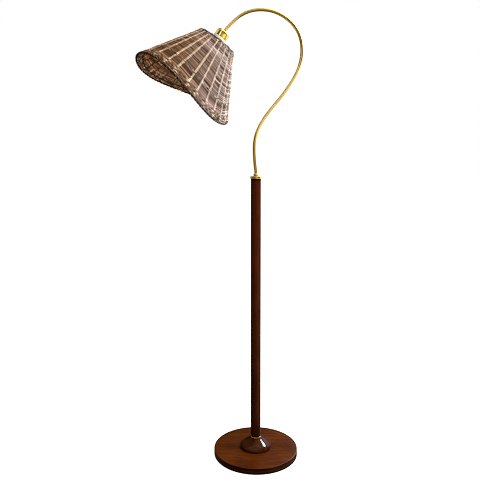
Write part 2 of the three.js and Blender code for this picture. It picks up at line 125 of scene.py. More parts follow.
def rounded(profile, steps=5):
    """Profile of (r, z) or (r, z, fillet) points; corners with a fillet become arcs. The profile is closed."""
    pts = [np.array(p[:2], float) for p in profile]
    fil = [p[2] if len(p) > 2 else 0.0 for p in profile]
    out = []
    n = len(pts)
    for i in range(n):
        b, f = pts[i], fil[i]
        if not f:
            out.append(tuple(b))
            continue
        a, c = pts[i - 1], pts[(i + 1) % n]
        u, v = a - b, c - b
        lu, lv = np.linalg.norm(u), np.linalg.norm(v)
        u, v = u / lu, v / lv
        half = math.acos(max(-1, min(1, float(u @ v)))) / 2
        t = min(f / math.tan(half), 0.48 * lu, 0.48 * lv)
        p0, p2 = b + u * t, b + v * t
        k = math.sin(half)
        w = k  # rational quadratic weight, so that the corner is a true arc
        for s in np.linspace(0, 1, steps + 1):
            q0, q1, q2 = (1 - s) ** 2, 2 * w * s * (1 - s), s * s
            out.append(tuple((p0 * q0 + b * q1 + p2 * q2) / (q0 + q1 + q2)))
    return out


def lathe(profile, n=128, ring=True, radius=None):
    """Turned body about +Z. ring: the profile closes on itself; otherwise it starts and ends on the axis."""
    prof = np.array(profile, float)
    ang = np.arange(n) * 2 * math.pi / n
    c, s = np.cos(ang), np.sin(ang)
    verts, quads, tris = [], [], []
    if ring:
        m = len(prof)
        for r, z in prof:
            rr = np.full(n, r) if radius is None else radius(r, z, ang)
            verts.append(np.stack([rr * c, rr * s, np.full(n, z)], 1))
        verts = np.concatenate(verts)
        i = np.arange(n)
        j = (i + 1) % n
        for k in range(m):
            q = (k + 1) % m
            quads.append(np.stack([k * n + i, k * n + j, q * n + j, q * n + i], 1))
        quads = np.concatenate(quads)
    else:
        inner = prof[1:-1]
        m = len(inner)
        for r, z in inner:
            rr = np.full(n, r) if radius is None else radius(r, z, ang)
            verts.append(np.stack([rr * c, rr * s, np.full(n, z)], 1))
        verts = np.concatenate(verts + [np.array([[0, 0, prof[0][1]], [0, 0, prof[-1][1]]])])
        i = np.arange(n)
        j = (i + 1) % n
        for k in range(m - 1):
            quads.append(np.stack([k * n + i, k * n + j, (k + 1) * n + j, (k + 1) * n + i], 1))
        quads = np.concatenate(quads) if quads else np.zeros((0, 4), int)
        lo, hi = m * n, m * n + 1
        tris = np.concatenate([
            np.stack([np.full(n, lo), j, i], 1),
            np.stack([np.full(n, hi), (m - 1) * n + i, (m - 1) * n + j], 1),
        ])
    return orient(verts, quads, tris)


def orient(verts, quads, tris):
    """Faces point outwards: flips all of them where the volume is negative."""
    verts = np.asarray(verts, float)
    quads = np.asarray(quads, int).reshape(-1, 4)
    tris = np.asarray(tris, int).reshape(-1, 3)
    t = np.concatenate([quads[:, [0, 1, 2]], quads[:, [0, 2, 3]], tris])
    a, b, c = verts[t[:, 0]], verts[t[:, 1]], verts[t[:, 2]]
    if np.einsum("ij,ij->", a, np.cross(b, c)) < 0:
        quads, tris = quads[:, ::-1], tris[:, ::-1]
    return verts, quads, tris


def merged(*parts):
    vs, qs, ts, at = [], [], [], 0
    for v, q, t in parts:
        vs.append(v)
        qs.append(np.asarray(q, int).reshape(-1, 4) + at)
        ts.append(np.asarray(t, int).reshape(-1, 3) + at)
        at += len(v)
    return np.concatenate(vs), np.concatenate(qs), np.concatenate(ts)


def moved(part, matrix=None, shift=(0, 0, 0)):
    v, q, t = part
    v = np.asarray(v, float)
    if matrix is not None:
        v = v @ np.asarray(matrix, float).T
    return v + np.asarray(shift, float), q, t


ALONG_Y = np.array([[1, 0, 0], [0, 0, 1], [0, -1, 0]], float)  # +Z becomes +Y

# frame of the lampholder and the shade: z along their common axis
TILT = rad(36.2)
AXIS_C = np.array([-125.3, 0.0, 1396.7])
HOLDER = np.array([
    [math.cos(TILT), 0, math.sin(TILT)],
    [0, 1, 0],
    [-math.sin(TILT), 0, math.cos(TILT)],
])


def held(part):
    return moved(part, HOLDER, AXIS_C)


def carve(ob, *cutters):
    """Cuts closed bodies out of ob, and leaves a plain mesh."""
    for c in cutters:
        m = ob.modifiers.new("cut", "BOOLEAN")
        m.operation, m.solver, m.object = "DIFFERENCE", "EXACT", c
    me = bpy.data.meshes.new_from_object(ob.evaluated_get(bpy.context.evaluated_depsgraph_get()))
    ob.modifiers.clear()
    ob.data = me
    for p in me.polygons:
        p.use_smooth = True
    me.set_sharp_from_angle(angle=rad(30))
    for c in cutters:
        bpy.data.objects.remove(c)
    return ob


def finish_piece(ob, body, slot, mat, *nodes):
    ob.data.materials.clear()
    ob.data.materials.append(mat)
    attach(ob, body)
    if nodes:
        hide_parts(*nodes)
    return ob


# ---------------------------------------------------------------- materials

class Nodes:
    """Short names for building a node tree."""

    def __init__(self, name):
        self.mat = bpy.data.materials.new(name)
        self.mat.use_nodes = True
        self.nt = self.mat.node_tree
        self.nt.nodes.clear()
        out = self.nt.nodes.new("ShaderNodeOutputMaterial")
        self.bsdf = self.nt.nodes.new("ShaderNodeBsdfPrincipled")
        self.nt.links.new(self.bsdf.outputs[0], out.inputs[0])

    def new(self, kind, **props):
        n = self.nt.nodes.new(kind)
        for k, v in props.items():
            setattr(n, k, v)
        return n

    def put(self, socket, value):
        if isinstance(value, bpy.types.NodeSocket):
            self.nt.links.new(value, socket)
        else:
            socket.default_value = value

    def set(self, **values):
        names = {"color": "Base Color", "rough": "Roughness", "metal": "Metallic", "normal": "Normal",
                 "coat": "Coat Weight", "coat_rough": "Coat Roughness", "coat_ior": "Coat IOR", "ior": "IOR",
                 "spec": "Specular IOR Level", "sheen": "Sheen Weight", "sheen_rough": "Sheen Roughness",
                 "coat_normal": "Coat Normal", "trans": "Transmission Weight", "sss": "Subsurface Weight",
                 "sss_radius": "Subsurface Radius", "sss_scale": "Subsurface Scale"}
        for k, v in values.items():
            self.put(self.bsdf.inputs[names[k]], v)
        return self

    def coords(self, scale=(1, 1, 1), kind="Object", rotation=(0, 0, 0), location=(0, 0, 0)):
        c = self.new("ShaderNodeTexCoord")
        return self.mapping(c.outputs[kind], scale, rotation, location)

    def mapping(self, vector, scale=(1, 1, 1), rotation=(0, 0, 0), location=(0, 0, 0)):
        m = self.new("ShaderNodeMapping")
        self.put(m.inputs["Vector"], vector)
        m.inputs["Scale"].default_value = scale
        m.inputs["Rotation"].default_value = rotation
        m.inputs["Location"].default_value = location
        return m.outputs[0]

    def attr(self, name, out="Fac"):
        return self.new("ShaderNodeAttribute", attribute_name=name).outputs[out]

    def noise(self, vector, scale=5.0, detail=4.0, rough=0.5, distortion=0.0, out="Fac"):
        n = self.new("ShaderNodeTexNoise")
        self.put(n.inputs["Vector"], vector)
        n.inputs["Scale"].default_value = scale
        n.inputs["Detail"].default_value = detail
        n.inputs["Roughness"].default_value = rough
        n.inputs["Distortion"].default_value = distortion
        return n.outputs[out]

    def wave(self, vector, scale=5.0, distortion=2.0, detail=2.0, kind="BANDS", direction="X", detail_scale=1.0):
        n = self.new("ShaderNodeTexWave", wave_type=kind)
        if kind == "BANDS":
            n.bands_direction = direction
        else:
            n.rings_direction = direction
        self.put(n.inputs["Vector"], vector)
        n.inputs["Scale"].default_value = scale
        n.inputs["Distortion"].default_value = distortion
        n.inputs["Detail"].default_value = detail
        n.inputs["Detail Scale"].default_value = detail_scale
        return n.outputs["Fac"]

    def voronoi(self, vector, scale=5.0, feature="F1", out="Distance"):
        n = self.new("ShaderNodeTexVoronoi", feature=feature)
        self.put(n.inputs["Vector"], vector)
        n.inputs["Scale"].default_value = scale
        return n.outputs[out]

    def ramp(self, fac, *stops, mode="LINEAR"):
        n = self.new("ShaderNodeValToRGB")
        n.color_ramp.interpolation = mode
        e = n.color_ramp.elements
        while len(e) < len(stops):
            e.new(0.5)
        for i, (at, col) in enumerate(stops):
            e[i].position = at
            e[i].color = (col, col, col, 1) if isinstance(col, (int, float)) else (*col, 1)
        self.put(n.inputs[0], fac)
        return n.outputs[0]

    def span(self, value, a, b, lo=0.0, hi=1.0, smooth=False):
        n = self.new("ShaderNodeMapRange")
        if smooth:
            n.interpolation_type = "SMOOTHSTEP"
        self.put(n.inputs[0], value)
        n.inputs[1].default_value, n.inputs[2].default_value = a, b
        n.inputs[3].default_value, n.inputs[4].default_value = lo, hi
        return n.outputs[0]

    def math(self, op, a, b=0.0, c=0.0, clamp=False):
        n = self.new("ShaderNodeMath", operation=op, use_clamp=clamp)
        self.put(n.inputs[0], a)
        self.put(n.inputs[1], b)
        self.put(n.inputs[2], c)
        return n.outputs[0]

    def mix(self, fac, a, b, how="MIX"):
        n = self.new("ShaderNodeMix", data_type="RGBA", blend_type=how)
        self.put(n.inputs[0], fac)
        self.put(n.inputs[6], a if isinstance(a, bpy.types.NodeSocket) else (*a, 1))
        self.put(n.inputs[7], b if isinstance(b, bpy.types.NodeSocket) else (*b, 1))
        return n.outputs[2]

    def bump(self, height, strength=0.2, distance=0.001, normal=None):
        n = self.new("ShaderNodeBump")
        n.inputs["Strength"].default_value = strength
        n.inputs["Distance"].default_value = distance
        self.put(n.inputs["Height"], height)
        if normal is not None:
            self.put(n.inputs["Normal"], normal)
        return n.outputs[0]

    def separate(self, vector):
        n = self.new("ShaderNodeSeparateXYZ")
        self.put(n.inputs[0], vector)
        return n.outputs


def brass(name, deep, light, rough=(0.07, 0.17)):
    g = Nodes(name)
    tarnish = g.noise(g.coords((1, 1, 1)), 26, 5, 0.6, 0.5)
    fine = g.noise(g.coords((1, 1, 1)), 900, 3, 0.6)
    g.set(color=g.ramp(tarnish, (0.3, deep), (0.7, light)), metal=1.0,
          rough=g.span(g.noise(g.coords((1, 1, 1)), 55, 4, 0.65), 0.3, 0.75, *rough),
          coat=0.15, coat_rough=0.04,
          normal=g.bump(fine, 0.04, 0.0001))
    return g.mat


def wood(name, stretch, dark, mid, light, shade_beside_metal=None, rough=(0.24, 0.34), coat=0.3, coat_rough=0.05, seed=0.0, rim=False, figure=1.0, fade=None, spec=0.05, coat_ior=1.42):
    """Lacquered wood; stretch is how dense the grain is along each axis, figure how strong its fine lines are."""
    g = Nodes(name)
    sx, sy, sz = stretch
    place = (seed, seed * 0.7, seed * 1.3)
    grain = g.noise(g.coords((sx, sy, sz), location=place), 9, 7, 0.62, 0.7)
    bands = g.wave(g.coords((sx * 0.6, sy * 0.6, sz * 0.6), location=place), 3.2, 9.0, 3.0, "RINGS", "X", 1.4)
    streaks = g.noise(g.coords((sx * 5, sy * 5, sz * 5), location=place), 14, 5, 0.7, 0.2)
    pores = g.noise(g.coords((sx * 12, sy * 12, sz * 12), location=place), 22, 3, 0.6)
    patch = g.noise(g.coords((1, 1, 1), location=place), 7, 3, 0.5)
    quiet = 0.4 + 0.6 * figure
    low_tone, high_tone = (tuple(m + (x - m) * quiet for m, x in zip(mid, c)) for c in (dark, light))
    base = g.ramp(grain, (0.25, low_tone), (0.5, mid), (0.76, high_tone))
    base = g.mix(g.span(bands, 0.2, 0.9, 0.0, 0.32 * figure), base, dark)
    base = g.mix(g.span(streaks, 0.42, 0.7, 0.0, 0.28 * figure), base, light)
    base = g.mix(g.span(pores, 0.56, 0.68, 0.0, 0.45 * figure), base, tuple(0.35 * x for x in dark))
    base = g.mix(g.span(patch, 0.35, 0.75, 0.0, 0.35), base, mid)
    cloud = g.noise(g.coords((1, 1, 1), location=place), 13, 3, 0.55, 0.4)
    base = g.mix(1.0, base, g.ramp(cloud, (0.32, (0.72, 0.70, 0.68)), (0.68, (1.24, 1.26, 1.28))), "MULTIPLY")
    if fade is not None:  # painted light: lighter towards the top and darker towards the foot
        z0, z1, low, high = fade
        level = g.span(g.separate(g.coords())[2], z0, z1, 0.0, 1.0)
        base = g.mix(1.0, base, g.ramp(level, (0.0, (low, low, low)), (1.0, (high, high * 0.97, high * 0.94))), "MULTIPLY")
    if shade_beside_metal is not None:  # painted shade: the wood is painted dark where it meets the metal, under the cap and above the ring
        for at, reach, shade in shade_beside_metal:
            z = g.separate(g.coords())[2]
            d = g.math("ABSOLUTE", g.math("SUBTRACT", z, at))
            base = g.mix(g.span(d, 0.0, reach, shade, 0.0, smooth=True), base, tuple(0.08 * x for x in dark))
    if rim:  # painted shade: the turned side is painted almost black below the upper edge, a painted dark reflection of the front of the room
        z = g.separate(g.coords())[2]
        base = g.mix(g.span(z, 0.0203, 0.0194, 0.0, 0.94, smooth=True), base, tuple(0.14 * x for x in dark))
        # below about 12 mm the side is painted a little less dark and bluer, a painted reflection of the floor
        base = g.mix(g.span(z, 0.0140, 0.0118, 0.0, 0.66, smooth=True), base, (0.70 * dark[0], 0.95 * dark[1], 2.2 * dark[2]))
    if rim:  # and it is less polished than the face
        coat = g.span(g.separate(g.coords())[2], 0.0188, 0.0202, 0.03, coat)
    g.set(color=base, rough=g.span(grain, 0.3, 0.8, *rough), spec=spec,
          coat=coat, coat_rough=coat_rough, coat_ior=coat_ior,
          normal=g.bump(g.math("ADD", g.math("MULTIPLY", pores, -0.6), g.math("MULTIPLY", grain, 0.4)), 0.12, 0.0004),
          coat_normal=g.bump(grain, 0.03, 0.0006))
    return g.mat


def rattan(name, inner, shadow, field, crest_highlight, grey):
    """Round core strands, coloured by how far out each part lies: painted light and shade. The outermost crests are
    painted pale, a painted highlight, the flanks get a painted shadow colour, the parts that lie furthest in are
    painted near black, a painted deep shade, and the inside stays brown.
    """
    g = Nodes(name)
    rise, tone = g.attr("rise"), g.attr("tone")
    fibre = g.attr("fibre", "Vector")
    long_noise = g.noise(fibre, 3.0, 4, 0.6)
    hair = g.noise(g.mapping(fibre, (0.35, 6, 6)), 5.0, 4, 0.65)
    patch = g.noise(g.coords((1, 1, 1)), 16, 3, 0.55)
    height = g.math("ADD", rise, g.span(long_noise, 0.25, 0.75, -0.30, 0.26))
    # painted deep shade for what lies furthest in, and a painted highlight on the outermost crests
    recess_shade = tuple(0.09 * x for x in inner)
    base = g.ramp(g.span(height, -1.0, 1.0), (0.07, recess_shade), (0.19, inner), (0.36, inner), (0.47, shadow), (0.60, field), (0.78, field), (0.93, crest_highlight))
    # inside, some stretches have kept their golden skin and others have gone dark
    stain = g.noise(g.coords((1, 1, 1)), 95, 3, 0.6)
    base = g.mix(g.span(height, -0.12, -0.32), base, g.mix(1.0, base, g.ramp(stain, (0.36, (0.34, 0.32, 0.30)), (0.50, (0.86, 0.84, 0.80)), (0.60, (1.35, 1.32, 1.22)), (0.70, (2.6, 2.4, 1.9))), "MULTIPLY"))
    # towards the right the outside is painted greyer, as bleached, and lighter, a painted light from the key light on
    # that side
    bleached_and_lit = g.span(g.separate(g.coords())[0], -0.255, -0.070, 0.02, 0.98, smooth=True)
    bleached_and_lit = g.math("MULTIPLY", g.math("MULTIPLY", bleached_and_lit, g.span(height, -0.05, 0.3)), g.span(patch, 0.30, 0.62, 0.55, 1.0))
    bleached_and_lit = g.math("MULTIPLY", bleached_and_lit, g.span(tone, 0.16, 0.50, 0.30, 1.0))
    base = g.mix(bleached_and_lit, base, g.mix(1.0, g.mix(0.50, base, grey), (1.42, 1.42, 1.44), "MULTIPLY"))
    base = g.mix(1.0, base, g.ramp(tone, (0.0, (0.13, 0.108, 0.094)), (0.28, (0.53, 0.495, 0.465)), (0.52, (0.98, 0.97, 0.96)), (0.78, (1.52, 1.55, 1.59)), (1.0, (2.25, 2.35, 2.45))), "MULTIPLY")
    base = g.mix(g.span(hair, 0.35, 0.75, 0.0, 0.5), base, g.mix(1.0, base, (0.62, 0.58, 0.54), "MULTIPLY"))
    knots = g.noise(g.mapping(fibre, (2.2, 0.4, 0.4)), 2.0, 2, 0.5)
    base = g.mix(g.span(knots, 0.66, 0.74, 0.0, 0.4), base, tuple(0.5 * x for x in inner))
    g.set(color=base, rough=g.span(hair, 0.3, 0.8, 0.5, 0.75), spec=0.22,
          normal=g.bump(hair, 0.35, 0.0003))
    return g.mat


BRASS = brass("brass", (0.86, 0.68, 0.19), (0.93, 0.77, 0.26))
BRASS_INNER = brass("brass_inner", (0.62, 0.42, 0.11), (0.74, 0.52, 0.16), (0.2, 0.36))
WOOD_BASE = wood("wood_base", (1.0, 7.0, 7.0), (0.046, 0.0085, 0.0008), (0.078, 0.0160, 0.0013), (0.126, 0.0290, 0.0024), coat=0.20, seed=1.7, rim=True, figure=0.35)
WOOD_BUN = wood("wood_bun", (1.4, 8.0, 8.0), (0.008, 0.0018, 0.0006), (0.029, 0.0070, 0.0019), (0.098, 0.0240, 0.0064), coat=0.055, coat_rough=0.045, seed=4.2, spec=0.004, coat_ior=1.9)
# the pole gets painted shade beside the metal at both ends and painted light that grows towards the top
WOOD_POLE = wood("wood_pole", (9.0, 9.0, 0.75), (0.022, 0.0034, 0.0011), (0.044, 0.0074, 0.0022), (0.080, 0.0145, 0.0040),
                 shade_beside_metal=((0.9480, 0.0105, 0.90), (0.0605, 0.006, 0.8)), coat=0.09, coat_rough=0.10, seed=2.6, fade=(0.08, 0.94, 0.72, 1.50))
RATTAN = rattan("rattan", (0.60, 0.300, 0.125), (0.064, 0.028, 0.013), (0.198, 0.098, 0.046), (0.86, 0.64, 0.45), (0.40, 0.398, 0.415))
RATTAN_DARK = rattan("rattan_dark", (0.050, 0.022, 0.010), (0.028, 0.013, 0.007), (0.112, 0.058, 0.030), (0.62, 0.43, 0.29), (0.22, 0.180, 0.155))


def plain(name, dark, light, scale, rough, metal=0.0, bump=0.1, stretch=(1, 1, 1), distance=0.0003, **more):
    """Fine-grained finish for the small and hidden pieces."""
    g = Nodes(name)
    n = g.noise(g.coords(stretch), scale, 5, 0.6)
    fine = g.noise(g.coords(stretch), scale * 9, 3, 0.6)
    g.set(color=g.ramp(n, (0.3, dark), (0.72, light)), metal=metal, rough=g.span(n, 0.3, 0.75, *rough),
          normal=g.bump(fine, bump, distance), **more)
    return g.mat


def threaded(name, dark, light, pitch):
    """Zinc-plated rod with a fine thread along Z."""
    g = Nodes(name)
    n = g.noise(g.coords(), 180, 4, 0.6)
    turns = g.wave(g.coords(), 1.0 / pitch / 2, 0.0, 0.0, "BANDS", "Z")
    g.set(color=g.mix(g.span(turns, 0.0, 0.5, 0.7, 0.0), g.ramp(n, (0.3, dark), (0.7, light)), tuple(0.3 * x for x in dark)),
          metal=1.0, rough=g.span(n, 0.3, 0.7, 0.28, 0.5), normal=g.bump(turns, 0.6, 0.0006))
    return g.mat


STEEL = plain("steel", (0.42, 0.43, 0.44), (0.60, 0.61, 0.62), 240, (0.26, 0.44), 1.0)
THREAD = threaded("threaded_steel", (0.42, 0.43, 0.44), (0.60, 0.61, 0.62), 0.001)
IRON = plain("painted_iron", (0.022, 0.023, 0.025), (0.05, 0.05, 0.053), 300, (0.5, 0.75), 0.2, 0.4)
GASKET = plain("gasket_silicone", (0.93, 0.88, 0.77), (0.97, 0.93, 0.84), 120, (0.4, 0.55), 0.0, 0.06)
RUBBER = plain("black_rubber", (0.010, 0.010, 0.010), (0.022, 0.021, 0.020), 420, (0.45, 0.62), 0.0, 0.2)
PLASTIC = plain("terminal_plastic", (0.62, 0.60, 0.53), (0.72, 0.70, 0.63), 160, (0.38, 0.5))
SHEATH = plain("lead_sheath", (0.46, 0.43, 0.35), (0.56, 0.53, 0.45), 200, (0.45, 0.6))
PORCELAIN = plain("porcelain", (0.72, 0.70, 0.65), (0.83, 0.81, 0.77), 120, (0.28, 0.42), 0.0, 0.12)
ALUMINIUM = plain("aluminium", (0.60, 0.60, 0.61), (0.74, 0.74, 0.75), 300, (0.22, 0.36), 1.0)
OPAL = plain("opal_glass", (0.80, 0.79, 0.75), (0.88, 0.87, 0.84), 40, (0.14, 0.24), 0.0, 0.02, coat=0.6, coat_rough=0.05, sss=0.2, sss_scale=0.004)


def felt_material():
    g = Nodes("felt")
    fuzz = g.noise(g.coords(), 1500, 4, 0.7)
    clumps = g.noise(g.coords(), 160, 4, 0.6)
    hairs = g.voronoi(g.coords((1, 2.2, 1), rotation=(0, 0, 0.6)), 1400)
    g.set(color=g.mix(g.span(clumps, 0.3, 0.7, 0.0, 0.6), (0.012, 0.0115, 0.011), (0.028, 0.026, 0.025)),
          rough=g.span(fuzz, 0.2, 0.8, 0.86, 0.98), sheen=0.4, sheen_rough=0.5,
          normal=g.bump(g.math("ADD", fuzz, hairs), 0.6, 0.0006))
    return g.mat


FELT = felt_material()

# ------------------------------------------------------------------- stand

# Base disc: same outline as the CAD disc, with the rounded upper edge, the
# recesses for the felt and the weight, the duct and the cable hole.
edge = [(140.8 + 2.2 * math.cos(t), 19.8 + 2.2 * math.sin(t)) for t in np.linspace(0, math.pi / 2, 9)]
disc = lathe([(114, 1.9), (131.3, 1.9), (131.3, 0.4), *rounded([(132, 0.4), (143, 0.4, 0.8), (143, 8), (132, 8)])[1:-2], (143.0, 8.0), (143.0, 14.0), *edge,
              (110.0, 22.0), (56.0, 22.0), (15.0, 22.0), (15.0, 12.3), (114.0, 12.3)], 224)
disc = mesh_from("base_plate", *disc)
duct = mesh_from("cut_duct", np.array([[x, y, z] for x in (-3.5, 3.5) for y in (8.0, 120.0) for z in (11.3, 18.0)]),
                 [(0, 1, 3, 2), (4, 6, 7, 5), (0, 4, 5, 1), (2, 3, 7, 6), (0, 2, 6, 4), (1, 5, 7, 3)])
entry = mesh_from("cut_entry", *moved(lathe([(0, 0), (4.6, 0), (4.6, 44), (0, 44)], 40, False), ALONG_Y, (0, 106, 14.95)))
pilots = [mesh_from(f"cut_pilot_{i}", *moved(lathe([(0, 11.3), (1.9, 11.3), (1.9, 19.6), (0, 19.6)], 16, False), None,
                                             (72 * math.cos(rad(30 + 120 * i)), 72 * math.sin(rad(30 + 120 * i)), 0))) for i in range(3)]
carve(disc, duct, entry, *pilots)
finish_piece(disc, "stand", "wood_base", WOOD_BASE, "base_disc")

finish_piece(mesh_from("base_felt", *lathe(rounded([(0, 0), (131, 0, 0.5), (131, 1.6, 0.5), (0, 1.6)]), 160, False)),
             "stand", "felt", FELT, "base_pad")

BUN = [(49.8, 0.0), (51.9, 1.2), (53.0, 3.6), (53.1, 6.2), (52.0, 9.4), (49.4, 13.0), (45.2, 17.0), (39.6, 21.4),
       (33.0, 26.0), (27.2, 29.8), (22.6, 32.8), (19.4, 34.4), (17.2, 35.0)]


def smooth_line(points, per=6):
    """Centripetal Catmull-Rom through points, per steps in each span."""
    p = [np.array(q, float) for q in points]
    p = [2 * p[0] - p[1], *p, 2 * p[-1] - p[-2]]
    out = []
    for i in range(1, len(p) - 2):
        x0, x1, x2, x3 = p[i - 1], p[i], p[i + 1], p[i + 2]
        d0, d1, d2 = (max(float(np.sum((b - a) ** 2)) ** 0.25, 1e-6) for a, b in ((x0, x1), (x1, x2), (x2, x3)))
        t1 = ((x1 - x0) / d0 - (x2 - x0) / (d0 + d1) + (x2 - x1) / d1) * d1
        t2 = ((x2 - x1) / d1 - (x3 - x1) / (d1 + d2) + (x3 - x2) / d2) * d1
        for s in np.arange(per) / per:
            out.append(x1 + t1 * s + (-3 * x1 + 3 * x2 - 2 * t1 - t2) * s * s + (2 * x1 - 2 * x2 + t1 + t2) * s ** 3)
    out.append(p[-2])
    return out


bun_line = [(r, 22.3 + z) for r, z in smooth_line(BUN, 5)]
finish_piece(mesh_from("turned_bun", *lathe([(15.0, 22.3), *bun_line, (5.6, 57.3), (5.6, 38.3), (15.0, 38.3)], 160)),
             "stand", "wood_base", WOOD_BUN, "base_bun")

finish_piece(mesh_from("ring_under_pole", *lathe(rounded([(5.6, 57.6), (16.9, 57.6, 1.2), (16.9, 60.6, 1.2), (5.6, 60.6)], 8), 112)),
             "stand", "brass", BRASS, "bun_ring")

finish_piece(mesh_from("turned_pole", *lathe(rounded([
    (6.2, 60.9), (17.0, 60.9, 1.0), (17.0, 300), (17.0, 620), (17.0, 948.6, 1.8), (9.9, 948.6, 0.4), (9.9, 902), (6.2, 902)], 6), 128)),
    "stand", "wood_pole", WOOD_POLE, "pole")

cap = mesh_from("cap_on_pole", *lathe(rounded([
    (5.3, 904, 0.4), (9.5, 904, 0.6), (9.5, 948.9), (18.9, 948.9, 1.1), (18.9, 956.6, 1.7), (6.9, 956.6, 0.5), (6.9, 921), (5.3, 919)], 7), 128))
hole = mesh_from("cut_screw", *moved(lathe([(0, 0), (1.8, 0), (1.8, 24), (0, 24)], 24, False), ALONG_Y, (0, 3, 953.0)))
carve(cap, hole)
finish_piece(cap, "stand", "brass", BRASS, "pole_cap")

finish_piece(mesh_from("entry_bush", *moved(lathe(rounded([
    (2.9, 0, 0.3), (4.3, 0, 0.3), (4.3, 15.1), (6.6, 15.1, 0.4), (6.6, 17.2, 0.6), (5.4, 18.4, 0.8), (2.9, 18.4, 0.5)], 5), 64), ALONG_Y, (0, 128.2, 14.95))),
    "stand", "rubber_black", RUBBER, "cable_bush")

# --------------------------------------------------------------------- arm

collar = mesh_from("collar_on_tube", *lathe(rounded([
    (5.3, 923), (6.6, 923, 0.5), (6.6, 956.95), (8.0, 956.95, 0.9), (8.0, 963.4, 2.2), (6.1, 965.6, 0.9), (5.3, 965.6)], 7), 96))


def arc_ring(section, n, start, sweep):
    ang = start + sweep * np.arange(n + 1) / n
    m = len(section)
    v = np.concatenate([[(r * math.cos(a), r * math.sin(a), z) for r, z in section] for a in ang])
    q = [(i * m + k, i * m + (k + 1) % m, (i + 1) * m + (k + 1) % m, (i + 1) * m + k) for i in range(n) for k in range(m)]
    o = n * m
    return orient(v, q + [(3, 2, 1, 0), (o, o + 1, o + 2, o + 3)], ())


carve(collar, mesh_from("cut_groove", *arc_ring([(5.75, 951.3), (9, 951.3), (9, 954.7), (5.75, 954.7)], 72, rad(90 - 168), rad(336))))
finish_piece(collar, "arm", "brass", BRASS, "swivel_collar")

TUBE_LINE = [
    (0, 930), (0, 948), (0, 967), (-1.2, 979.5), (-3.0, 995), (-4.8, 1018), (-5.7, 1044), (-4.6, 1068.4), (0.7, 1094.1),
    (9.5, 1116.5), (22.8, 1140.5), (39.2, 1164.4), (57.9, 1187.6), (76.9, 1210.4), (94.8, 1233.5), (111.4, 1257),
    (126.1, 1281.7), (138.1, 1307.6), (146.1, 1334.3), (149.1, 1361.6), (147.8, 1388.8), (140.5, 1415.9), (125.9, 1441.3),
    (105.3, 1462.8), (81.1, 1479.4), (54.0, 1490.6), (25.9, 1495.3), (-2.4, 1494.5), (-28.2, 1488.2), (-51.0, 1476.7),
    (-70.2, 1461.7), (-84.8, 1447.7), (-97.6, 1434.55), (-102.6, 1427.7), (-107.3, 1421.3)]


def flat_sweep(line, outer, inner, sides):
    """Pipe along a line in the plane Y = 0."""
    p = np.array([(x, 0, z) for x, z in line])
    t = np.gradient(p, axis=0)
    t /= np.linalg.norm(t, axis=1)[:, None]
    b = np.array([0, 1.0, 0])
    n = np.cross(b, t)
    a = np.arange(sides) * 2 * math.pi / sides
    ring = lambda r: p[:, None, :] + r * (np.cos(a)[None, :, None] * n[:, None, :] + np.sin(a)[None, :, None] * b)
    v = np.concatenate([ring(outer).reshape(-1, 3), ring(inner).reshape(-1, 3)])
    m, k = len(p), sides
    i, j = np.meshgrid(np.arange(m - 1), np.arange(k), indexing="ij")
    i, j = i.ravel(), j.ravel()
    jn = (j + 1) % k
    out = np.stack([i * k + j, i * k + jn, (i + 1) * k + jn, (i + 1) * k + j], 1)
    ins = out[:, ::-1] + m * k
    j = np.arange(k)
    jn = (j + 1) % k
    low = np.stack([jn, j, m * k + j, m * k + jn], 1)
    e = (m - 1) * k
    high = np.stack([e + j, e + jn, m * k + e + jn, m * k + e + j], 1)
    return orient(v, np.concatenate([out, ins, low, high]), ())


finish_piece(mesh_from("bent_tube", *flat_sweep(smooth_line(TUBE_LINE, 9), 5.0, 3.9, 28)), "arm", "brass", BRASS, "arm_tube")

# lampholder
dome = [(22.0, 31.0), (21.5, 33.0), (20.1, 35.0), (17.8, 36.9), (14.6, 38.6), (11.0, 40.1), (8.2, 41.0), (6.5, 41.5)]
finish_piece(mesh_from("holder_dome", *held(lathe([
    (5.3, 34.4), (14.6, 34.4), (19.0, 31.6), (20.2, 29.6), (21.7, 29.6), (22.0, 29.9), *smooth_line(dome, 4), (5.8, 41.7), (5.3, 41.6)], 128))),
    "arm", "brass", BRASS, "holder_cap")

finish_piece(mesh_from("holder_cup", *held(lathe(rounded([
    (18.6, -34), (19.4, -34, 0.3), (19.4, -6.6), (23.4, -6.6, 0.9), (23.4, 7.0, 0.9), (19.4, 7.0), (19.4, 14.2),
    (22.0, 14.2, 0.5), (22.0, 29.3, 0.5), (20.6, 29.3), (20.6, 15.6), (18.6, 15.0)], 5), 128))),
    "arm", "brass", BRASS, "holder_shell")
# painted highlight: the ring under the cup has a pale finish, so that a light band shows there under any light
finish_piece(mesh_from("neck_gasket", *held(lathe(rounded([
    (19.7, 7.3), (22.4, 7.3, 0.8), (22.4, 13.9, 0.8), (19.7, 13.9)], 5), 128))), "arm", "silicone_white", GASKET, "holder_gasket")

# clamp ring with grip flutes
flutes = lambda r, z, a: np.full(len(a), r) - (0.55 * (0.5 + 0.5 * np.cos(a * 48)) ** 2 if r > 25.0 else 0.0)
finish_piece(mesh_from("clamp_ring", *held(lathe([
    (19.9, -15.2), (23.9, -15.2), (24.6, -15.0), (25.1, -14.3), (25.4, -13.4), (25.4, -12.4), (25.4, -11.2), (25.2, -10.2), (24.8, -9.5), (24.3, -9.4), (19.9, -9.4)],
    384, True, flutes))), "arm", "brass", BRASS, "shade_clamp_ring")

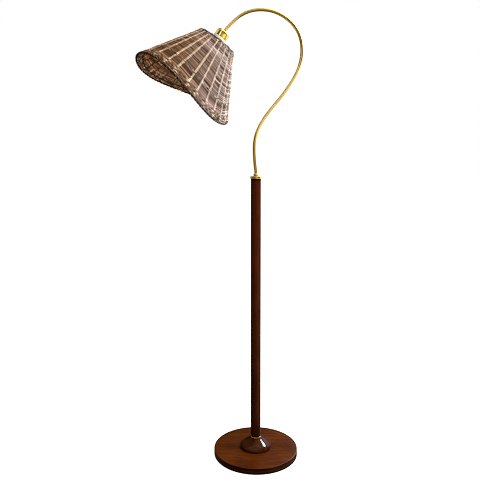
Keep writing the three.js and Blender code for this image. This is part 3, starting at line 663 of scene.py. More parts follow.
bulb = [(13.2, -28.6), (13.6, -31), (14.8, -35), (17.0, -43), (20.4, -50.5), (24.4, -58.2), (27.6, -65), (29.5, -71.6), (30.0, -77.5), (29.6, -83.5),
        (27.9, -89.6), (24.9, -95.4), (20.6, -100.4), (15.2, -104.2), (8.4, -106.4), (0, -107)]
bulb_in = [(0, -106.0), (8.2, -105.4), (14.8, -103.3), (20.0, -99.6), (24.1, -94.8), (27.0, -89.2), (28.6, -83.3), (29.0, -77.5), (28.5, -71.8), (26.6, -65.3),
           (23.5, -58.6), (19.5, -50.9), (16.1, -43.4), (13.9, -35.2), (12.7, -31), (12.3, -28.6)]
finish_piece(mesh_from("bulb_envelope", *held(lathe([*bulb[::-1], *bulb_in[::-1]], 96, False)), sharp=50), "arm", "opal_glass", OPAL, "bulb_glass")


def thread(depth, pitch, low, high):
    """Rounded screw thread on every ring of a profile between two heights."""
    def radius(r, z, a):
        k = 0.5 - 0.5 * np.cos(2 * math.pi * ((z - low) / pitch) - a)
        edge = min(1.0, max(0.0, (z - low) / pitch), max(0.0, (high - z) / pitch))
        return np.full(len(a), r) - depth * k * edge
    return radius


zs = np.linspace(-26.8, -7.6, 44)
finish_piece(mesh_from("bulb_thread", *held(lathe([
    (11.7, -28.2), (13.0, -28.2), *[(13.1, z) for z in zs], (12.4, -6.6), (10.6, -4.6), (9.0, -3.6), (6.2, -3.2), (6.2, -4.4), (8.6, -4.8), (11.2, -8.2)],
    72, True, thread(0.75, 3.2, -26.8, -7.6)))), "arm", "bulb_metal", ALUMINIUM, "bulb_cap")
zs = np.linspace(-25.6, -0.6, 50)
finish_piece(mesh_from("socket_thread", *held(lathe([
    *[(14.45, z) for z in zs], *[(13.95, z) for z in zs[::-1]]], 72, True, thread(0.45, 3.2, -25.6, -0.6)))), "arm", "brass", BRASS_INNER, "screw_shell")

# ------------------------------------------------------------------- shade

WAVE_PHASE = rad(33.0)
rim_depth = lambda a: 197.2 + 24.6 * np.cos(2 * (a + WAVE_PHASE)) - 3.5 * np.cos(a)
rim_radius = lambda a: 184 - 5.5 * np.cos(2 * (a + WAVE_PHASE))
TOP_Z, TOP_R, HALF_WALL = -7.4, 69.45, 2.2
RIBS = 24
RIB_PHASE = 0.0

# The ribs aren't quite evenly spaced: the turn at which each of them stands, in degrees.
RIB_TURNS = np.array([-126.8, -111.4, -99.2, -81.4, -69.0, -53.3, -36.6, -20.6, -7.4, 9.4, 23.1, 38.8, 52.4, 68.9, 82.6,
                      97.4, 113.9, 127.8, 143.9, 157.6, 173.2, 188.6, 202.3, 218.4])


def true_angle(t):
    """Even turns, one step per rib, to the angles at which the ribs stand."""
    x = np.asarray(t, float) * RIBS / (2 * math.pi)
    whole = np.floor(x / RIBS)
    x = x - whole * RIBS
    marks = np.append(RIB_TURNS, RIB_TURNS[0] + 360)
    return np.radians(np.interp(x, np.arange(RIBS + 1), marks)) + 2 * math.pi * whole


def wall(u, a, off=0.0):
    """Point on the middle of the woven wall, off along its normal, and that normal, in the shade's frame."""
    a = true_angle(a)
    r1, z1 = rim_radius(a) - 7.6, -(rim_depth(a) - 10.4)
    slope = np.arctan2(r1 - TOP_R, TOP_Z - z1)
    nr, nz = np.cos(slope), np.sin(slope)
    r = TOP_R + (r1 - TOP_R) * u - HALF_WALL / nr + nr * off
    z = TOP_Z + (z1 - TOP_Z) * u + nz * off
    c, s = np.cos(a), np.sin(a)
    return np.stack([r * c, r * s, z], -1), np.stack([nr * c, nr * s, nz], -1)


class Strands:
    """Round strands gathered into one mesh, with the attributes that their finish reads."""

    def __init__(self, sides=8):
        self.sides, self.v, self.q, self.t = sides, [], [], []
        self.rise, self.tone, self.fibre, self.strips, self.at, self.ids = [], [], [], [], 0, 0

    def add(self, p, n, r, rise, tone, closed=False, gain=0.3, strip=336):
        """p: points, n: outward normals, r: radii, rise: how far out each ring lies, -1 inside to 1 outside."""
        k = self.sides
        m = len(p)
        t = np.roll(p, -1, 0) - np.roll(p, 1, 0) if closed else np.gradient(p, axis=0)
        t /= np.linalg.norm(t, axis=1)[:, None]
        n = n - (n * t).sum(1)[:, None] * t
        n /= np.linalg.norm(n, axis=1)[:, None]
        b = np.cross(t, n)
        a = np.arange(k) * 2 * math.pi / k
        r = np.broadcast_to(r, (m,))
        rise = np.broadcast_to(rise, (m,))
        ring = p[:, None] + r[:, None, None] * (np.cos(a)[None, :, None] * n[:, None] + np.sin(a)[None, :, None] * b[:, None])
        self.v.append(ring.reshape(-1, 3))
        # the outward-facing side of each strand gets a higher rise, which the finish paints lighter: painted light
        # round each strand
        self.rise.append((rise[:, None] + gain * np.cos(a)[None]).ravel())
        tone = np.broadcast_to(tone, (m,))
        self.tone.append(np.repeat(tone, k))
        step = np.linalg.norm(np.diff(p, axis=0), axis=1)
        s = np.concatenate([[0], np.cumsum(step)])
        self.ids += 1
        f = np.stack(np.broadcast_arrays(s[:, None] * 0.02 + self.ids * 3.7, np.cos(a)[None] * 0.35, np.sin(a)[None] * 0.35 + self.ids * 1.3), -1)
        self.fibre.append(f.reshape(-1, 3))
        rows = m if closed else m - 1
        i, j = np.meshgrid(np.arange(rows), np.arange(k), indexing="ij")
        i, j = i.ravel(), j.ravel()
        i2, j2 = (i + 1) % m, (j + 1) % k
        self.q.append(self.at + np.stack([i * k + j, i * k + j2, i2 * k + j2, i2 * k + j], 1))
        self.strips.append((i, j, strip))
        self.at += m * k
        if not closed:
            c0, c1 = self.at, self.at + 1
            self.v.append(np.array([p[0] - t[0] * r[0] * 0.25, p[-1] + t[-1] * r[-1] * 0.25]))
            self.rise.append(np.array([0.4, 0.4]))
            self.tone.append(np.array([tone[0], tone[-1]]))
            self.fibre.append(np.array([[s[0], 0, self.ids], [s[-1], 0, self.ids]], float))
            base, j = self.at - m * k, np.arange(k)
            j2 = (j + 1) % k
            self.t.append(np.stack([np.full(k, c0), base + j2, base + j], 1))
            self.t.append(np.stack([np.full(k, c1), base + (m - 1) * k + j, base + (m - 1) * k + j2], 1))
            self.at += 2

    def uv(self):
        """One strip of the map for each stretch of a strand, so that a finish can be kept along it."""
        k = self.sides
        total = sum(int(i.max()) // strip + 1 for i, j, strip in self.strips)
        out, row = [], 0
        for i, j, strip in self.strips:
            line = row + i // strip
            x0 = (i % strip) / strip * 0.97 + 0.004
            x1 = x0 + 0.97 / strip
            y0 = (line + 0.06 + 0.88 * j / k) / total
            y1 = (line + 0.06 + 0.88 * (j + 1) / k) / total
            out.append(np.stack([x0, y0, x0, y1, x1, y1, x1, y0], 1).reshape(-1, 2))
            row += int(i.max()) // strip + 1
        n = sum(len(t) for t in self.t)
        if n:
            e = np.arange(n)
            x, y = 0.982 + 0.016 * ((e % 4) / 4), e / n
            out.append(np.stack([x, y, x + 0.003, y, x + 0.0015, y + 0.8 / n], 1).reshape(-1, 2))
        return np.concatenate(out)

    def make(self, name):
        v = np.concatenate(self.v)
        q, t = np.concatenate(self.q), np.concatenate(self.t) if self.t else np.zeros((0, 3), int)
        ob = mesh_from(name, *held((v, q, t)), sharp=None)
        me = ob.data
        for key, kind, field, data in (("rise", "FLOAT", "value", self.rise), ("tone", "FLOAT", "value", self.tone), ("fibre", "FLOAT_VECTOR", "vector", self.fibre)):
            me.attributes.new(key, kind, "POINT").data.foreach_set(field, np.concatenate(data).astype(np.float32).ravel())
        me.uv_layers.new(name="OFBake").data.foreach_set("uv", self.uv().astype(np.float32).ravel())
        return ob


# Rows from the upper border to the rim: (kind, rows). Twined rows lie between
# stretches of plain weave.
ROWS = [("twine", 1.9), ("plain", 64), ("twine", 1.9), ("plain", 14), ("twine", 1.9), ("twine", 1.9), ("twine", 1.9), ("twine", 1.9)]
TOTAL = sum(n for _, n in ROWS)
STEP_AT = rad(217.5)     # where each round steps down to the next, at the back
rib_half = lambda u: 1.75 + 1.25 * np.clip((u - 0.25) / 0.15, 0, 1)  # half the width of a rib: one stake above, two below


def row_samples(u_of, start, turns):
    """Angles along a strand that goes round, close together at each rib, with the distance to the rib in mm."""
    space = 2 * math.pi / RIBS
    first = math.floor((start - RIB_PHASE) / space + 0.5)
    ang, dist, rib = [], [], []
    for j in range(first, first + int(round(turns * RIBS)) + 1):
        at = RIB_PHASE + j * space
        u = u_of(at)
        r = TOP_R + (float(rim_radius(at)) - 7.6 - TOP_R) * u
        h = rib_half(u)
        half = space * r / 2
        near = np.array([0, 0.55 * h, h + 0.1, h + 0.9, h + 1.9, h + 3.3])
        near = near[near < half * 0.9]
        rest = np.linspace(near[-1], half, 8 - len(near) + 1)[1:-1] if len(near) < 8 else np.zeros(0)
        d = np.concatenate([near, rest])
        d = np.concatenate([-d[:0:-1], d, [half]])
        ang.append(at + d / r)
        dist.append(d)
        rib.append(np.full(len(d), j))
    return np.concatenate(ang), np.concatenate(dist), np.concatenate(rib)


# Rows of one panel, between two ribs, lie and look a little different from
# those of the next: light and dark lines two to five rows apart.
PERIODS = np.array([2.7, 3.3, 4.1, 5.8])
PANEL_PHASE = np.cumsum(rng.normal(0, 0.55, (RIBS, len(PERIODS))), 0) + rng.uniform(0, 2 * math.pi, len(PERIODS))
PANEL_TONE = rng.normal(0, 0.02, (RIBS, 12))
DRIFT = rng.normal(0, 1, (RIBS, 128))
for j in range(1, RIBS):  # a strand keeps its tone past several ribs
    DRIFT[j] = 0.66 * DRIFT[j - 1] + 0.75 * DRIFT[j]
LINE_TONE = DRIFT + 0.45 * np.roll(DRIFT, 1, 1) - 0.40 * np.roll(DRIFT, 3, 1) - 0.30 * np.roll(DRIFT, 4, 1)
# a few rows a step lighter are painted highlights on lifted strands, and a few a step darker are painted shade in the
# gaps
LINE_TONE = 0.140 * LINE_TONE + np.where(LINE_TONE < -1.7, -0.24, 0) + np.where(LINE_TONE > 1.6, 0.26, 0)


def panel_tone(u, a):
    """How much lighter or darker a strand is than its own tone at a place on the wall."""
    x = (np.asarray(a) - RIB_PHASE) * RIBS / (2 * math.pi)
    j = np.floor(x).astype(int) % RIBS
    q = u * TOTAL
    lines = (np.array([0.12, 0.13, 0.07, 0.0]) * np.sin(2 * math.pi * q[:, None] / PERIODS + PANEL_PHASE[j] + 0.9 * np.sin(2.2 * x)[:, None])).sum(1)
    return lines + PANEL_TONE[j, np.clip((q / 8).astype(int), 0, 11)] + LINE_TONE[j, np.clip(q.astype(int), 0, 127)]


def settle(u, a):
    """Unevenness of the rows, shared by neighbours: they bunch up in places and open in others."""
    slow = 0.0020 * np.sin(3 * a + 9 * u) + 0.0009 * np.sin(5 * a - 23 * u + 1) + 0.0004 * np.sin(11 * a + 41 * u + 2)
    bunch = 0.07 * np.sin(56 * u + 2.2 * np.sin(3 * a + 1)) * np.sin(7 * a + 2.1 + 3 * u) + 0.04 * np.sin(93 * u + 1.3 + 2.6 * np.sin(5 * a)) * np.sin(13 * a + 0.4 - 5 * u)
    fade = np.clip(u / 0.06, 0, 1) * np.clip((1 - u) / 0.05, 0, 1)
    x = (np.asarray(a) - RIB_PHASE) * RIBS / (2 * math.pi)
    j = np.floor(x).astype(int) % RIBS
    in_panel = np.sin(math.pi * (x - np.floor(x))) ** 0.6  # rows meet again at each rib
    fine = in_panel * (0.03 * np.sin(2 * math.pi * u * TOTAL / PERIODS[1] + PANEL_PHASE[j, 1] + 1.2) + 0.04 * np.sin(2 * math.pi * u * TOTAL / PERIODS[2] + PANEL_PHASE[j, 2] + 1.2))
    return u + slow + fade * (bunch + fine) / TOTAL


def inside_out(dist, rib, parity, u):
    """1 where the strand lies outside a rib, -1 where it lies inside, 0 between ribs."""
    h = rib_half(u)
    side = np.where((rib + parity) % 2 == 0, 1.0, -1.0)
    return side * 0.5 * (1 - np.tanh((np.abs(dist) - (h + 0.75)) / 1.0))


def pitch_at(a):
    return np.hypot(rim_depth(a) - 10.4 + TOP_Z, rim_radius(a) - 7.6 - TOP_R) / TOTAL


def weave_zone(low, rows, target):
    """Plain weave between two heights: two strands, one outside the even ribs and one outside the odd ribs."""
    for parity in (0, 1):
        turn = 0.0
        last = rows / 2
        while turn < last - 1e-6:
            length = min(last - turn, 1.5 + 0.5 * rng.randint(0, 4))
            length = last - turn if last - turn - length < 1.0 else length
            start = STEP_AT + 2 * math.pi * turn

            def row_at(a):
                t = (a - STEP_AT) / (2 * math.pi)
                whole = np.floor(t + 1e-9)
                f = np.clip((t - whole - 0.93) / 0.07, 0, 1)
                return low + 0.5 + parity + 2 * (whole + f * f * (3 - 2 * f))

            # the first strands come in one rib early, to fill the wedge above the first step
            early = 2 * math.pi / RIBS if turn == 0 else 0.0
            ang, dist, rib = row_samples(lambda a: float(row_at(a)) / TOTAL, start - early, length + early / (2 * math.pi))
            u = row_at(ang) / TOTAL
            side = inside_out(dist, rib, parity, u)
            ph = rng.uniform(0, 6.28, 4)
            wob = 0.22 * np.sin(7 * ang + ph[0]) + 0.16 * np.sin(17 * ang + ph[1])
            pitch = pitch_at(ang)
            r = np.clip(0.58 * pitch, 0.95, 1.55) * (1 + 0.04 * np.sin(13 * ang + ph[2]) + rng.uniform(-0.04, 0.03))
            off = side * (1.7 + 1.15) + 0.16 * np.sin(29 * ang + ph[3])
            # both ends are tucked away on the inside
            n = len(ang)
            tuck = np.clip(1 - np.arange(n) / 4.0, 0, 1) + np.clip(1 - (n - 1 - np.arange(n)) / 4.0, 0, 1)
            off = off - 0.9 * tuck
            p, nrm = wall(settle(u, ang) + wob * 0.12 / TOTAL, ang, off)
            near = 0.7 * side ** 2  # the crests on the ribs get one even tone, so that their painted highlight runs unbroken
            tone = np.clip((rng.normal(0.5, 0.15) + panel_tone(u, ang)) * (1 - near) + 0.60 * near, 0.15, 1)
            target(u[n // 2]).add(p, nrm, r, 0.70 * side - 0.25 * tuck, tone)
            turn += length


def twine(middle, target, tone, shift=0.0):
    """Two thicker strands that change places between the ribs."""
    for k in (0, 1):
        space = 2 * math.pi / RIBS
        ang, dist, rib = row_samples(lambda a: middle / TOTAL, RIB_PHASE, 1)
        keep = (ang >= RIB_PHASE - 1e-9) & (ang < RIB_PHASE + 2 * math.pi - 1e-9)
        ang, dist, rib = ang[keep], dist[keep], rib[keep]
        x = (ang - RIB_PHASE) / space
        swing = np.cos(math.pi * x + math.pi * (k + shift))
        cross = np.sin(math.pi * x + math.pi * (k + shift))
        off = np.sign(swing) * np.abs(swing) ** 0.75 * 2.7
        u = middle / TOTAL + cross * 1.25 / (TOTAL * pitch_at(ang))
        p, nrm = wall(settle(u, ang), ang, off)
        shade = tone - 0.04 + 0.2 * k + 0.22 * np.sin(31 * ang + 2 * k + middle) + 0.22 * np.sin(57 * ang + middle)
        target.add(p, nrm, 1.76 + 0.06 * np.sin(9 * ang + k), 0.44 * swing + 0.02, np.clip(shade, 0, 1), closed=True, gain=0.32)


bands = {"upper": Strands(8), "middle": Strands(8), "lower": Strands(8)}


def band_for(u):
    return bands["upper" if u < 0.36 else "middle" if u < 0.70 else "lower"]


low, twined = 0.0, 0
for kind, rows in ROWS:
    if kind == "plain":
        weave_zone(low, rows, band_for)
    else:
        twine(low + rows / 2, band_for((low + rows / 2) / TOTAL), 0.44, twined % 2)
        twined += 1
    low += rows
weave_zone(TOTAL - 0.2, 2, band_for)  # last rows, down to the braid
for key, strands in bands.items():
    finish_piece(strands.make("weave_" + key), "shade", "rattan", RATTAN, "shade_skin")

# stakes: one to each rib at the top, a second one beside it further down
stakes = Strands(10)
for j in range(RIBS):
    a = RIB_PHASE + 2 * math.pi * j / RIBS
    for which in (0, 1):
        ph = rng.uniform(0, 6.28, 3)
        start = -0.03 if which == 0 else 0.235 + rng.uniform(-0.02, 0.02)
        u = np.linspace(start, 1.035, 72 if which == 0 else 56)
        r = TOP_R + (float(rim_radius(a)) - 7.6 - TOP_R) * u
        spread = 1.5 * np.clip((u - 0.25) / 0.15, 0, 1) ** 0.8 * (1 if which else -1)
        side = spread + 0.35 * np.sin(5 * u + ph[0]) * np.clip(u * 4, 0, 1)
        off = 0.12 * np.sin(11 * u + ph[1]) - (0.9 * np.clip(1 - (u - start) / 0.05, 0, 1) if which else 0)
        ang = np.full(len(u), a) + side / r
        p, nrm = wall(u, ang, off)
        rad_mm = 1.72 - 0.22 * np.clip((u - 0.25) / 0.15, 0, 1) if which == 0 else np.full(len(u), 1.5)
        mottle = 0.08 * np.sin(37 * u + ph[2]) + 0.07 * np.sin(83 * u + ph[0]) + rng.normal(0, 0.05, len(u))
        # painted highlight on the outer side of each stake and painted shadow, near black, on its inner side
        stakes.add(p, nrm, rad_mm, 0.05, np.clip(rng.normal(0.62, 0.05) + mottle, 0, 1), gain=0.85, strip=128)
finish_piece(stakes.make("rib_stakes"), "shade", "rattan", RATTAN, "shade_skin")


def rim_line(n, inwards=4.6, upwards=4.6):
    """Closed line along the wavy rim, with the outward and downward directions."""
    a = np.arange(n) * 2 * math.pi / n
    r, z = rim_radius(a) - inwards, -(rim_depth(a) - upwards)
    p = np.stack([r * np.cos(a), r * np.sin(a), z], 1)
    t = np.roll(p, -1, 0) - np.roll(p, 1, 0)
    t /= np.linalg.norm(t, axis=1)[:, None]
    out = np.stack([np.cos(a), np.sin(a), np.full(n, 0.62)], 1)
    out -= (out * t).sum(1)[:, None] * t
    out /= np.linalg.norm(out, axis=1)[:, None]
    return a, p, out, np.cross(t, out)


# braid of three along the rim, over a core strand
braid = Strands(10)
crossings = 58
n = crossings * 14
a, p, out, down = rim_line(n)
braid.add(p, out, 2.9, -0.45, 0.3, closed=True, gain=0.1, strip=136)
for k in range(3):
    ph = a * crossings / 2 * 1.0 + 2 * math.pi * k / 3
    swing, lift = np.sin(ph), np.sin(2 * ph)
    q = p + down * (2.72 * swing)[:, None] + out * (1.66 * lift)[:, None]
    speck = 0.34 + 0.12 * k + 0.27 * np.sin(41 * a + 2 * k) + 0.20 * np.sin(97 * a + 5 * k)
    # painted shade: the turns of the braid that swing down, on its underside, are painted darker
    braid.add(q, out, 1.76 + 0.05 * np.sin(3 * a + k), 0.34 * lift - 0.02 - 0.45 * np.clip(swing, 0, 1), np.clip(speck, 0, 1), closed=True, gain=0.45, strip=136)
finish_piece(braid.make("braided_rim"), "shade", "rattan_dark", RATTAN_DARK, "rim_braid")

# rope of three round the upper edge, tied to the wire ring of the carrier
border = Strands(10)
n = 26 * 14
a = np.arange(n) * 2 * math.pi / n
c, s = np.cos(a), np.sin(a)
core = np.stack([64.3 * c, 64.3 * s, np.full(n, -3.5)], 1)
out, upw = np.stack([c, s, 0 * a], 1), np.stack([0 * a, 0 * a, 1 + 0 * a], 1)
for k in range(3):
    ph = 26 * a + 2 * math.pi * k / 3
    q = core + out * (1.52 * np.cos(ph))[:, None] + upw * (1.52 * np.sin(ph))[:, None]
    speck = 0.36 + 0.12 * (k - 1) + 0.26 * np.sin(23 * a + 2.1 * k) * np.sin(7 * a + 1) + 0.20 * np.sin(61 * a + 4 * k)
    border.add(q, out, 1.7, 0.02 + 0.30 * np.cos(ph), np.clip(speck, 0, 1), closed=True, gain=0.40, strip=182)
finish_piece(border.make("rope_border"), "shade", "rattan_dark", RATTAN_DARK, "shade_border")

ties = Strands(8)
for j in range(12):
    a0 = 2 * math.pi * (j + 0.5) / 12
    t = np.linspace(0, 1, 96)
    ph = 2 * math.pi * 3.2 * t
    a = a0 + (t - 0.5) * 0.085
    r = 61.4 + 6.25 * np.cos(ph)
    z = -3.45 + 4.25 * np.sin(ph)
    p = np.stack([r * np.cos(a), r * np.sin(a), z], 1)
    nrm = np.stack([np.cos(ph) * np.cos(a), np.cos(ph) * np.sin(a), np.sin(ph)], 1)
    ties.add(p, nrm, 0.62, 0.15, 0.45, gain=0.3, strip=96)
finish_piece(ties.make("border_ties"), "shade", "rattan_dark", RATTAN_DARK)

# Carrier: flat fitter ring, three arms, wire ring, with small weld beads
def wire_ring(radius, z, r, n=144, sides=14):
    a = np.arange(n) * 2 * math.pi / n
    b = np.arange(sides) * 2 * math.pi / sides
    x = (radius + r * np.cos(b)[None]) * np.cos(a)[:, None]
    y = (radius + r * np.cos(b)[None]) * np.sin(a)[:, None]
    v = np.stack([x, y, np.broadcast_to(z + r * np.sin(b)[None], x.shape)], -1).reshape(-1, 3)
    i, j = np.meshgrid(np.arange(n), np.arange(sides), indexing="ij")
    i, j = i.ravel(), j.ravel()
    return orient(v, np.stack([i * sides + j, ((i + 1) % n) * sides + j, ((i + 1) % n) * sides + (j + 1) % sides, i * sides + (j + 1) % sides], 1), ())


def bar(p0, p1, r, sides=14):
    p0, p1 = np.array(p0, float), np.array(p1, float)
    d = (p1 - p0) / np.linalg.norm(p1 - p0)
    n = np.cross(d, (0, 0, 1.0))
    n /= np.linalg.norm(n)
    b = np.cross(d, n)
    a = np.arange(sides) * 2 * math.pi / sides
    ring = np.cos(a)[:, None] * n + np.sin(a)[:, None] * b
    v = np.concatenate([p0 + r * ring, p1 + r * ring, [p0, p1]])
    j = np.arange(sides)
    jn = (j + 1) % sides
    q = np.stack([j, jn, sides + jn, sides + j], 1)
    t = np.concatenate([np.stack([np.full(sides, 2 * sides), jn, j], 1), np.stack([np.full(sides, 2 * sides + 1), sides + j, sides + jn], 1)])
    return orient(v, q, t)


def bead(at, r, squash=1.0, n=16):
    """Small weld bead."""
    prof = [(r * math.sin(t), -r * squash * math.cos(t)) for t in np.linspace(0, math.pi, 9)]
    prof[0], prof[-1] = (0, -r * squash), (0, r * squash)
    return moved(lathe(prof, n, False), None, at)


parts = [lathe(rounded([(20.4, -8.9, 0.3), (25.0, -8.9, 0.3), (25.0, -7.0, 0.3), (20.4, -7.0, 0.3)], 3), 96), wire_ring(58.6, -3.4, 1.8)]
for i in range(3):
    a = rad(100 + 120 * i)
    c, s = math.cos(a), math.sin(a)
    parts += [bar((23.4 * c, 23.4 * s, -8.0), (58.6 * c, 58.6 * s, -3.4), 1.5), bead((24.6 * c, 24.6 * s, -7.7), 2.1, 0.7), bead((58.0 * c, 58.0 * s, -3.5), 2.15)]
carrier = mesh_from("wire_carrier", *held(merged(*parts)))
finish_piece(carrier, "shade", "brass", BRASS_INNER, "shade_carrier")

# wire ring inside the rim, and the ties that hold it to the stakes
a, p, out, down = rim_line(288, 20.8, 16.5)
hoop = Strands(12)
hoop.add(p, out, 1.7, 0.0, 0.5, closed=True, strip=96)
finish_piece(hoop.make("rim_hoop"), "shade", "iron_painted", IRON, "rim_wire")

lash = Strands(6)
for j in range(RIBS):
    a0 = float(true_angle(2 * math.pi * j / RIBS)) + 0.035
    t = np.linspace(0, 1, 60)
    ph = 2 * math.pi * 2.2 * t
    a = a0 + (t - 0.5) * 0.02
    rr, zz = rim_radius(a) - 20.8, -(rim_depth(a) - 16.5)
    er, ez = np.cos(rad(31.7)), np.sin(rad(31.7))
    o = 3.0 + 5.2 * np.cos(ph)
    d = 2.35 * np.sin(ph)
    r, z = rr + er * o + ez * d, zz + ez * o - er * d
    p = np.stack([r * np.cos(a), r * np.sin(a), z], 1)
    nrm = np.stack([(er * np.cos(ph)) * np.cos(a), (er * np.cos(ph)) * np.sin(a), ez * np.cos(ph) + 0.01], 1)
    nrm = nrm + np.stack([ez * np.sin(ph) * np.cos(a), ez * np.sin(ph) * np.sin(a), -er * np.sin(ph)], 1)
    lash.add(p, nrm, 0.55, 0.1, 0.5, gain=0.3, strip=60)
finish_piece(lash.make("hoop_ties"), "shade", "rattan_dark", RATTAN_DARK)

# ------------------------------------------- finishes of the carried-over nodes

for node, mat in {
    "base_weight": IRON, "weight_screw_1": STEEL, "weight_screw_2": STEEL, "weight_screw_3": STEEL,
    "terminal_block": PLASTIC, "tie_rod": THREAD, "tie_washer": STEEL, "tie_nut": STEEL, "cap_set_screw": STEEL,
    "lead_lower": SHEATH, "lead_upper": SHEATH, "holder_lock_nut": STEEL, "holder_insert": PORCELAIN,
    "terminal_screw_1": BRASS_INNER, "terminal_screw_2": BRASS_INNER, "centre_contact": BRASS_INNER,
    "bulb_insulator": RUBBER, "bulb_contact": ALUMINIUM,
}.items():
    ob = frame["nodes"][node]
    ob.data.materials.clear()
    ob.data.materials.append(mat)
    for poly in ob.data.polygons:
        poly.use_smooth = True
    ob.data.set_sharp_from_angle(angle=rad(40))

# -------------------------------------------------------- floor and lights


def floor_material():
    g = Nodes("floor")
    n = g.noise(g.coords(), 3.0, 4, 0.5)
    g.set(color=g.ramp(n, (0.3, (0.60, 0.60, 0.60)), (0.7, (0.62, 0.62, 0.62))), rough=0.9, spec=0.1)
    g.bsdf.inputs["Emission Color"].default_value = (1, 1, 1, 1)
    g.bsdf.inputs["Emission Strength"].default_value = 0.80
    return g.mat


floor = mesh_from("floor", [(-30000, -30000, -0.6), (30000, -30000, -0.6), (30000, 30000, -0.6), (-30000, 30000, -0.6)], [(0, 1, 2, 3)])
floor.data.materials.append(floor_material())
floor.visible_glossy = False
floor.visible_diffuse = False

world = bpy.data.worlds.new("studio")
scene.world = world
world.use_nodes = True
nt = world.node_tree
nt.nodes.clear()


def node(kind, **props):
    n = nt.nodes.new(kind)
    for k, v in props.items():
        setattr(n, k, v)
    return n


def feed(socket, value):
    if isinstance(value, bpy.types.NodeSocket):
        nt.links.new(value, socket)
    else:
        socket.default_value = value


def wmath(op, a, b=0.0, c=0.0):
    n = node("ShaderNodeMath", operation=op)
    for i, x in enumerate((a, b, c)):
        feed(n.inputs[i], x)
    return n.outputs[0]


def wspan(value, a, b, lo=0.0, hi=1.0):
    n = node("ShaderNodeMapRange", interpolation_type="SMOOTHSTEP")
    for i, x in enumerate((value, a, b, lo, hi)):
        feed(n.inputs[i], x)
    return n.outputs[0]


def tinted(colour, factor):
    n = node("ShaderNodeVectorMath", operation="SCALE")
    feed(n.inputs[0], colour)
    feed(n.inputs["Scale"], factor)
    return n.outputs[0]


def total(a, b):
    n = node("ShaderNodeVectorMath", operation="ADD")
    feed(n.inputs[0], a)
    feed(n.inputs[1], b)
    return n.outputs[0]


coord = node("ShaderNodeTexCoord")
sep = node("ShaderNodeSeparateXYZ")
nt.links.new(coord.outputs["Generated"], sep.inputs[0])
# degrees round the lamp: 0 in front, 90 on the right, -90 on the left; degrees above the horizon
turn = wmath("MULTIPLY", wmath("ARCTAN2", sep.outputs[0], wmath("MULTIPLY", sep.outputs[1], -1.0)), 180 / math.pi)
height = wmath("MULTIPLY", wmath("ARCSINE", sep.outputs[2]), 180 / math.pi)

# What glossy surfaces see: a warm, dim room with a few panels.
# (turn, half width, height, half height, softness, colour, strength)
PANELS = [
    (14, 18, -4, 9, 8, (1.0, 0.62, 0.20), 0.40),      # low, in front
    (6, 10, 19, 6, 6, (1.0, 0.70, 0.32), 0.22),       # above it
    (-20, 6, 24, 11, 4, (0.62, 0.80, 1.80), 2.0),     # narrow strip, cool
    (26, 8, -8, 6, 6, (1.0, 0.62, 0.25), 0.34),       # beside the low one
    (-116, 32, 42, 10, 8, (1.0, 0.88, 0.40), 0.70),   # left, high
    (-130, 36, 6, 26, 10, (1.0, 0.84, 0.40), 0.12),   # left
    (138, 26, 26, 12, 8, (1.0, 1.0, 1.0), 5.0),       # right
    (133, 26, -8, 10, 8, (1.0, 0.92, 0.66), 1.10),    # right, lower
    (100, 26, -22, 16, 8, (1.0, 0.80, 0.42), 0.56),   # right, from below
    (52, 14, -19, 9, 8, (1.0, 0.92, 0.60), 1.00),     # front right, from below
    (20, 80, 71, 14, 9, (1.0, 0.92, 0.60), 1.15),     # overhead
    (130, 34, 54, 14, 9, (1.0, 0.93, 0.80), 2.2),     # high on the right
]
room = tinted((1.0, 0.68, 0.32), wspan(height, -40.0, 60.0, 0.19, 0.15))
for az, half, el, tall, soft, colour, strength in PANELS:
    across = wmath("ABSOLUTE", wmath("WRAP", wmath("SUBTRACT", turn, az), 180.0, -180.0))
    along = wmath("ABSOLUTE", wmath("SUBTRACT", height, el))
    seen = wmath("MULTIPLY", wspan(across, half, half + soft, 1.0, 0.0), wspan(along, tall, tall + soft, 1.0, 0.0))
    room = total(room, tinted(colour, wmath("MULTIPLY", seen, strength)))
glow = node("ShaderNodeBackground")
nt.links.new(room, glow.inputs[0])
# what matt surfaces see: soft light, stronger from above and from the right, warmer from the left
even = node("ShaderNodeBackground")
hue = node("ShaderNodeMix", data_type="RGBA")
feed(hue.inputs[0], wspan(sep.outputs[0], -0.8, 0.6, 0.0, 1.0))
hue.inputs[6].default_value = (1.0, 0.88, 0.74, 1)
hue.inputs[7].default_value = (1.0, 1.0, 1.0, 1)
nt.links.new(hue.outputs[2], even.inputs[0])
feed(even.inputs[1], wmath("MULTIPLY", wspan(sep.outputs[2], -0.4, 0.8, 0.54, 0.74), wspan(sep.outputs[0], -0.8, 0.8, 0.36, 1.32)))
white = node("ShaderNodeBackground")
white.inputs[0].default_value = (1, 1, 1, 1)
white.inputs[1].default_value = 1.0
path = node("ShaderNodeLightPath")
inner = node("ShaderNodeMixShader")
# only surfaces seen directly mirror the room; what they throw on to matt ones is even light
direct = wmath("MULTIPLY", path.outputs["Is Glossy Ray"], wmath("LESS_THAN", path.outputs["Diffuse Depth"], 0.5))
nt.links.new(direct, inner.inputs[0])
nt.links.new(even.outputs[0], inner.inputs[1])
nt.links.new(glow.outputs[0], inner.inputs[2])
outer = node("ShaderNodeMixShader")
nt.links.new(path.outputs["Is Camera Ray"], outer.inputs[0])
nt.links.new(inner.outputs[0], outer.inputs[1])
nt.links.new(white.outputs[0], outer.inputs[2])
wout = node("ShaderNodeOutputWorld")
nt.links.new(outer.outputs[0], wout.inputs[0])
world.cycles.sampling_method = "NONE"


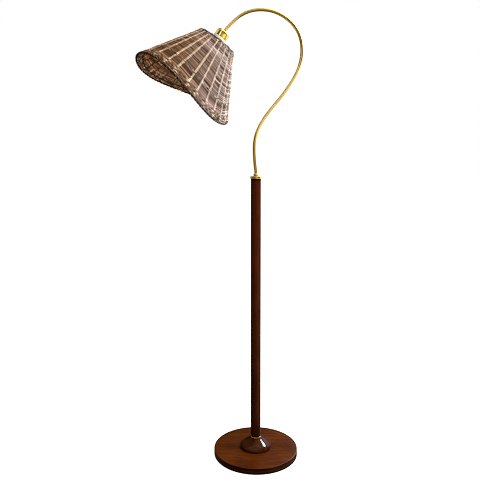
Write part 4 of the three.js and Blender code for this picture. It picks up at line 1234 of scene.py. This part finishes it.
def softbox(name, at, aim, size, power, color=(1, 1, 1)):
    data = bpy.data.lights.new(name, "AREA")
    data.shape = "RECTANGLE"
    data.size, data.size_y = size
    data.energy, data.color = power, color
    ob = bpy.data.objects.new(name, data)
    scene.collection.objects.link(ob)
    ob.location = at
    ob.rotation_euler = (Vector(aim) - Vector(at)).to_track_quat("-Z", "Y").to_euler()
    ob.visible_camera = False
    ob.visible_glossy = False
    return ob


softbox("key", (1.9, -1.5, 2.3), (0, 0, 0.8), (0.7, 1.2), 52, (0.95, 0.98, 1.0))
softbox("top", (1.35, 0.2, 2.9), (0, 0, 1.0), (1.2, 1.2), 42)
softbox("warm", (-2.4, -0.6, 1.5), (0, 0, 0.9), (0.5, 1.6), 8, (1.0, 0.70, 0.42))

# a window high on the right, mirrored in the lacquer of the bun only
window = softbox("window", (1.63, 0.59, 1.88), (0, 0, 0.04), (0.90, 0.60), 230, (0.91, 0.96, 1.0))
window.visible_glossy = True
window.visible_diffuse = False
lacquered = bpy.data.collections.new("lacquered")
lacquered.objects.link(bpy.data.objects["turned_bun"])
window.light_linking.receiver_collection = lacquered

# a little crispness, as a product picture has, worked out on display values
scene.cycles.filter_width = 1.3
scene.use_nodes = True
tree = scene.node_tree
tree.nodes.clear()
layers = tree.nodes.new("CompositorNodeRLayers")
encode = tree.nodes.new("CompositorNodeGamma")
encode.inputs[1].default_value = 1 / 2.2
crisp = tree.nodes.new("CompositorNodeFilter")
crisp.filter_type = "SHARPEN_DIAMOND"
crisp.inputs[0].default_value = 0.11
decode = tree.nodes.new("CompositorNodeGamma")
decode.inputs[1].default_value = 2.2
final = tree.nodes.new("CompositorNodeComposite")
limit = tree.nodes.new("CompositorNodeMixRGB")
limit.use_clamp = True
limit.inputs[0].default_value = 0.0
tree.links.new(layers.outputs[0], limit.inputs[1])
tree.links.new(limit.outputs[0], encode.inputs[0])
tree.links.new(encode.outputs[0], crisp.inputs[1])
tree.links.new(crisp.outputs[0], decode.inputs[0])
tree.links.new(decode.outputs[0], final.inputs[0])
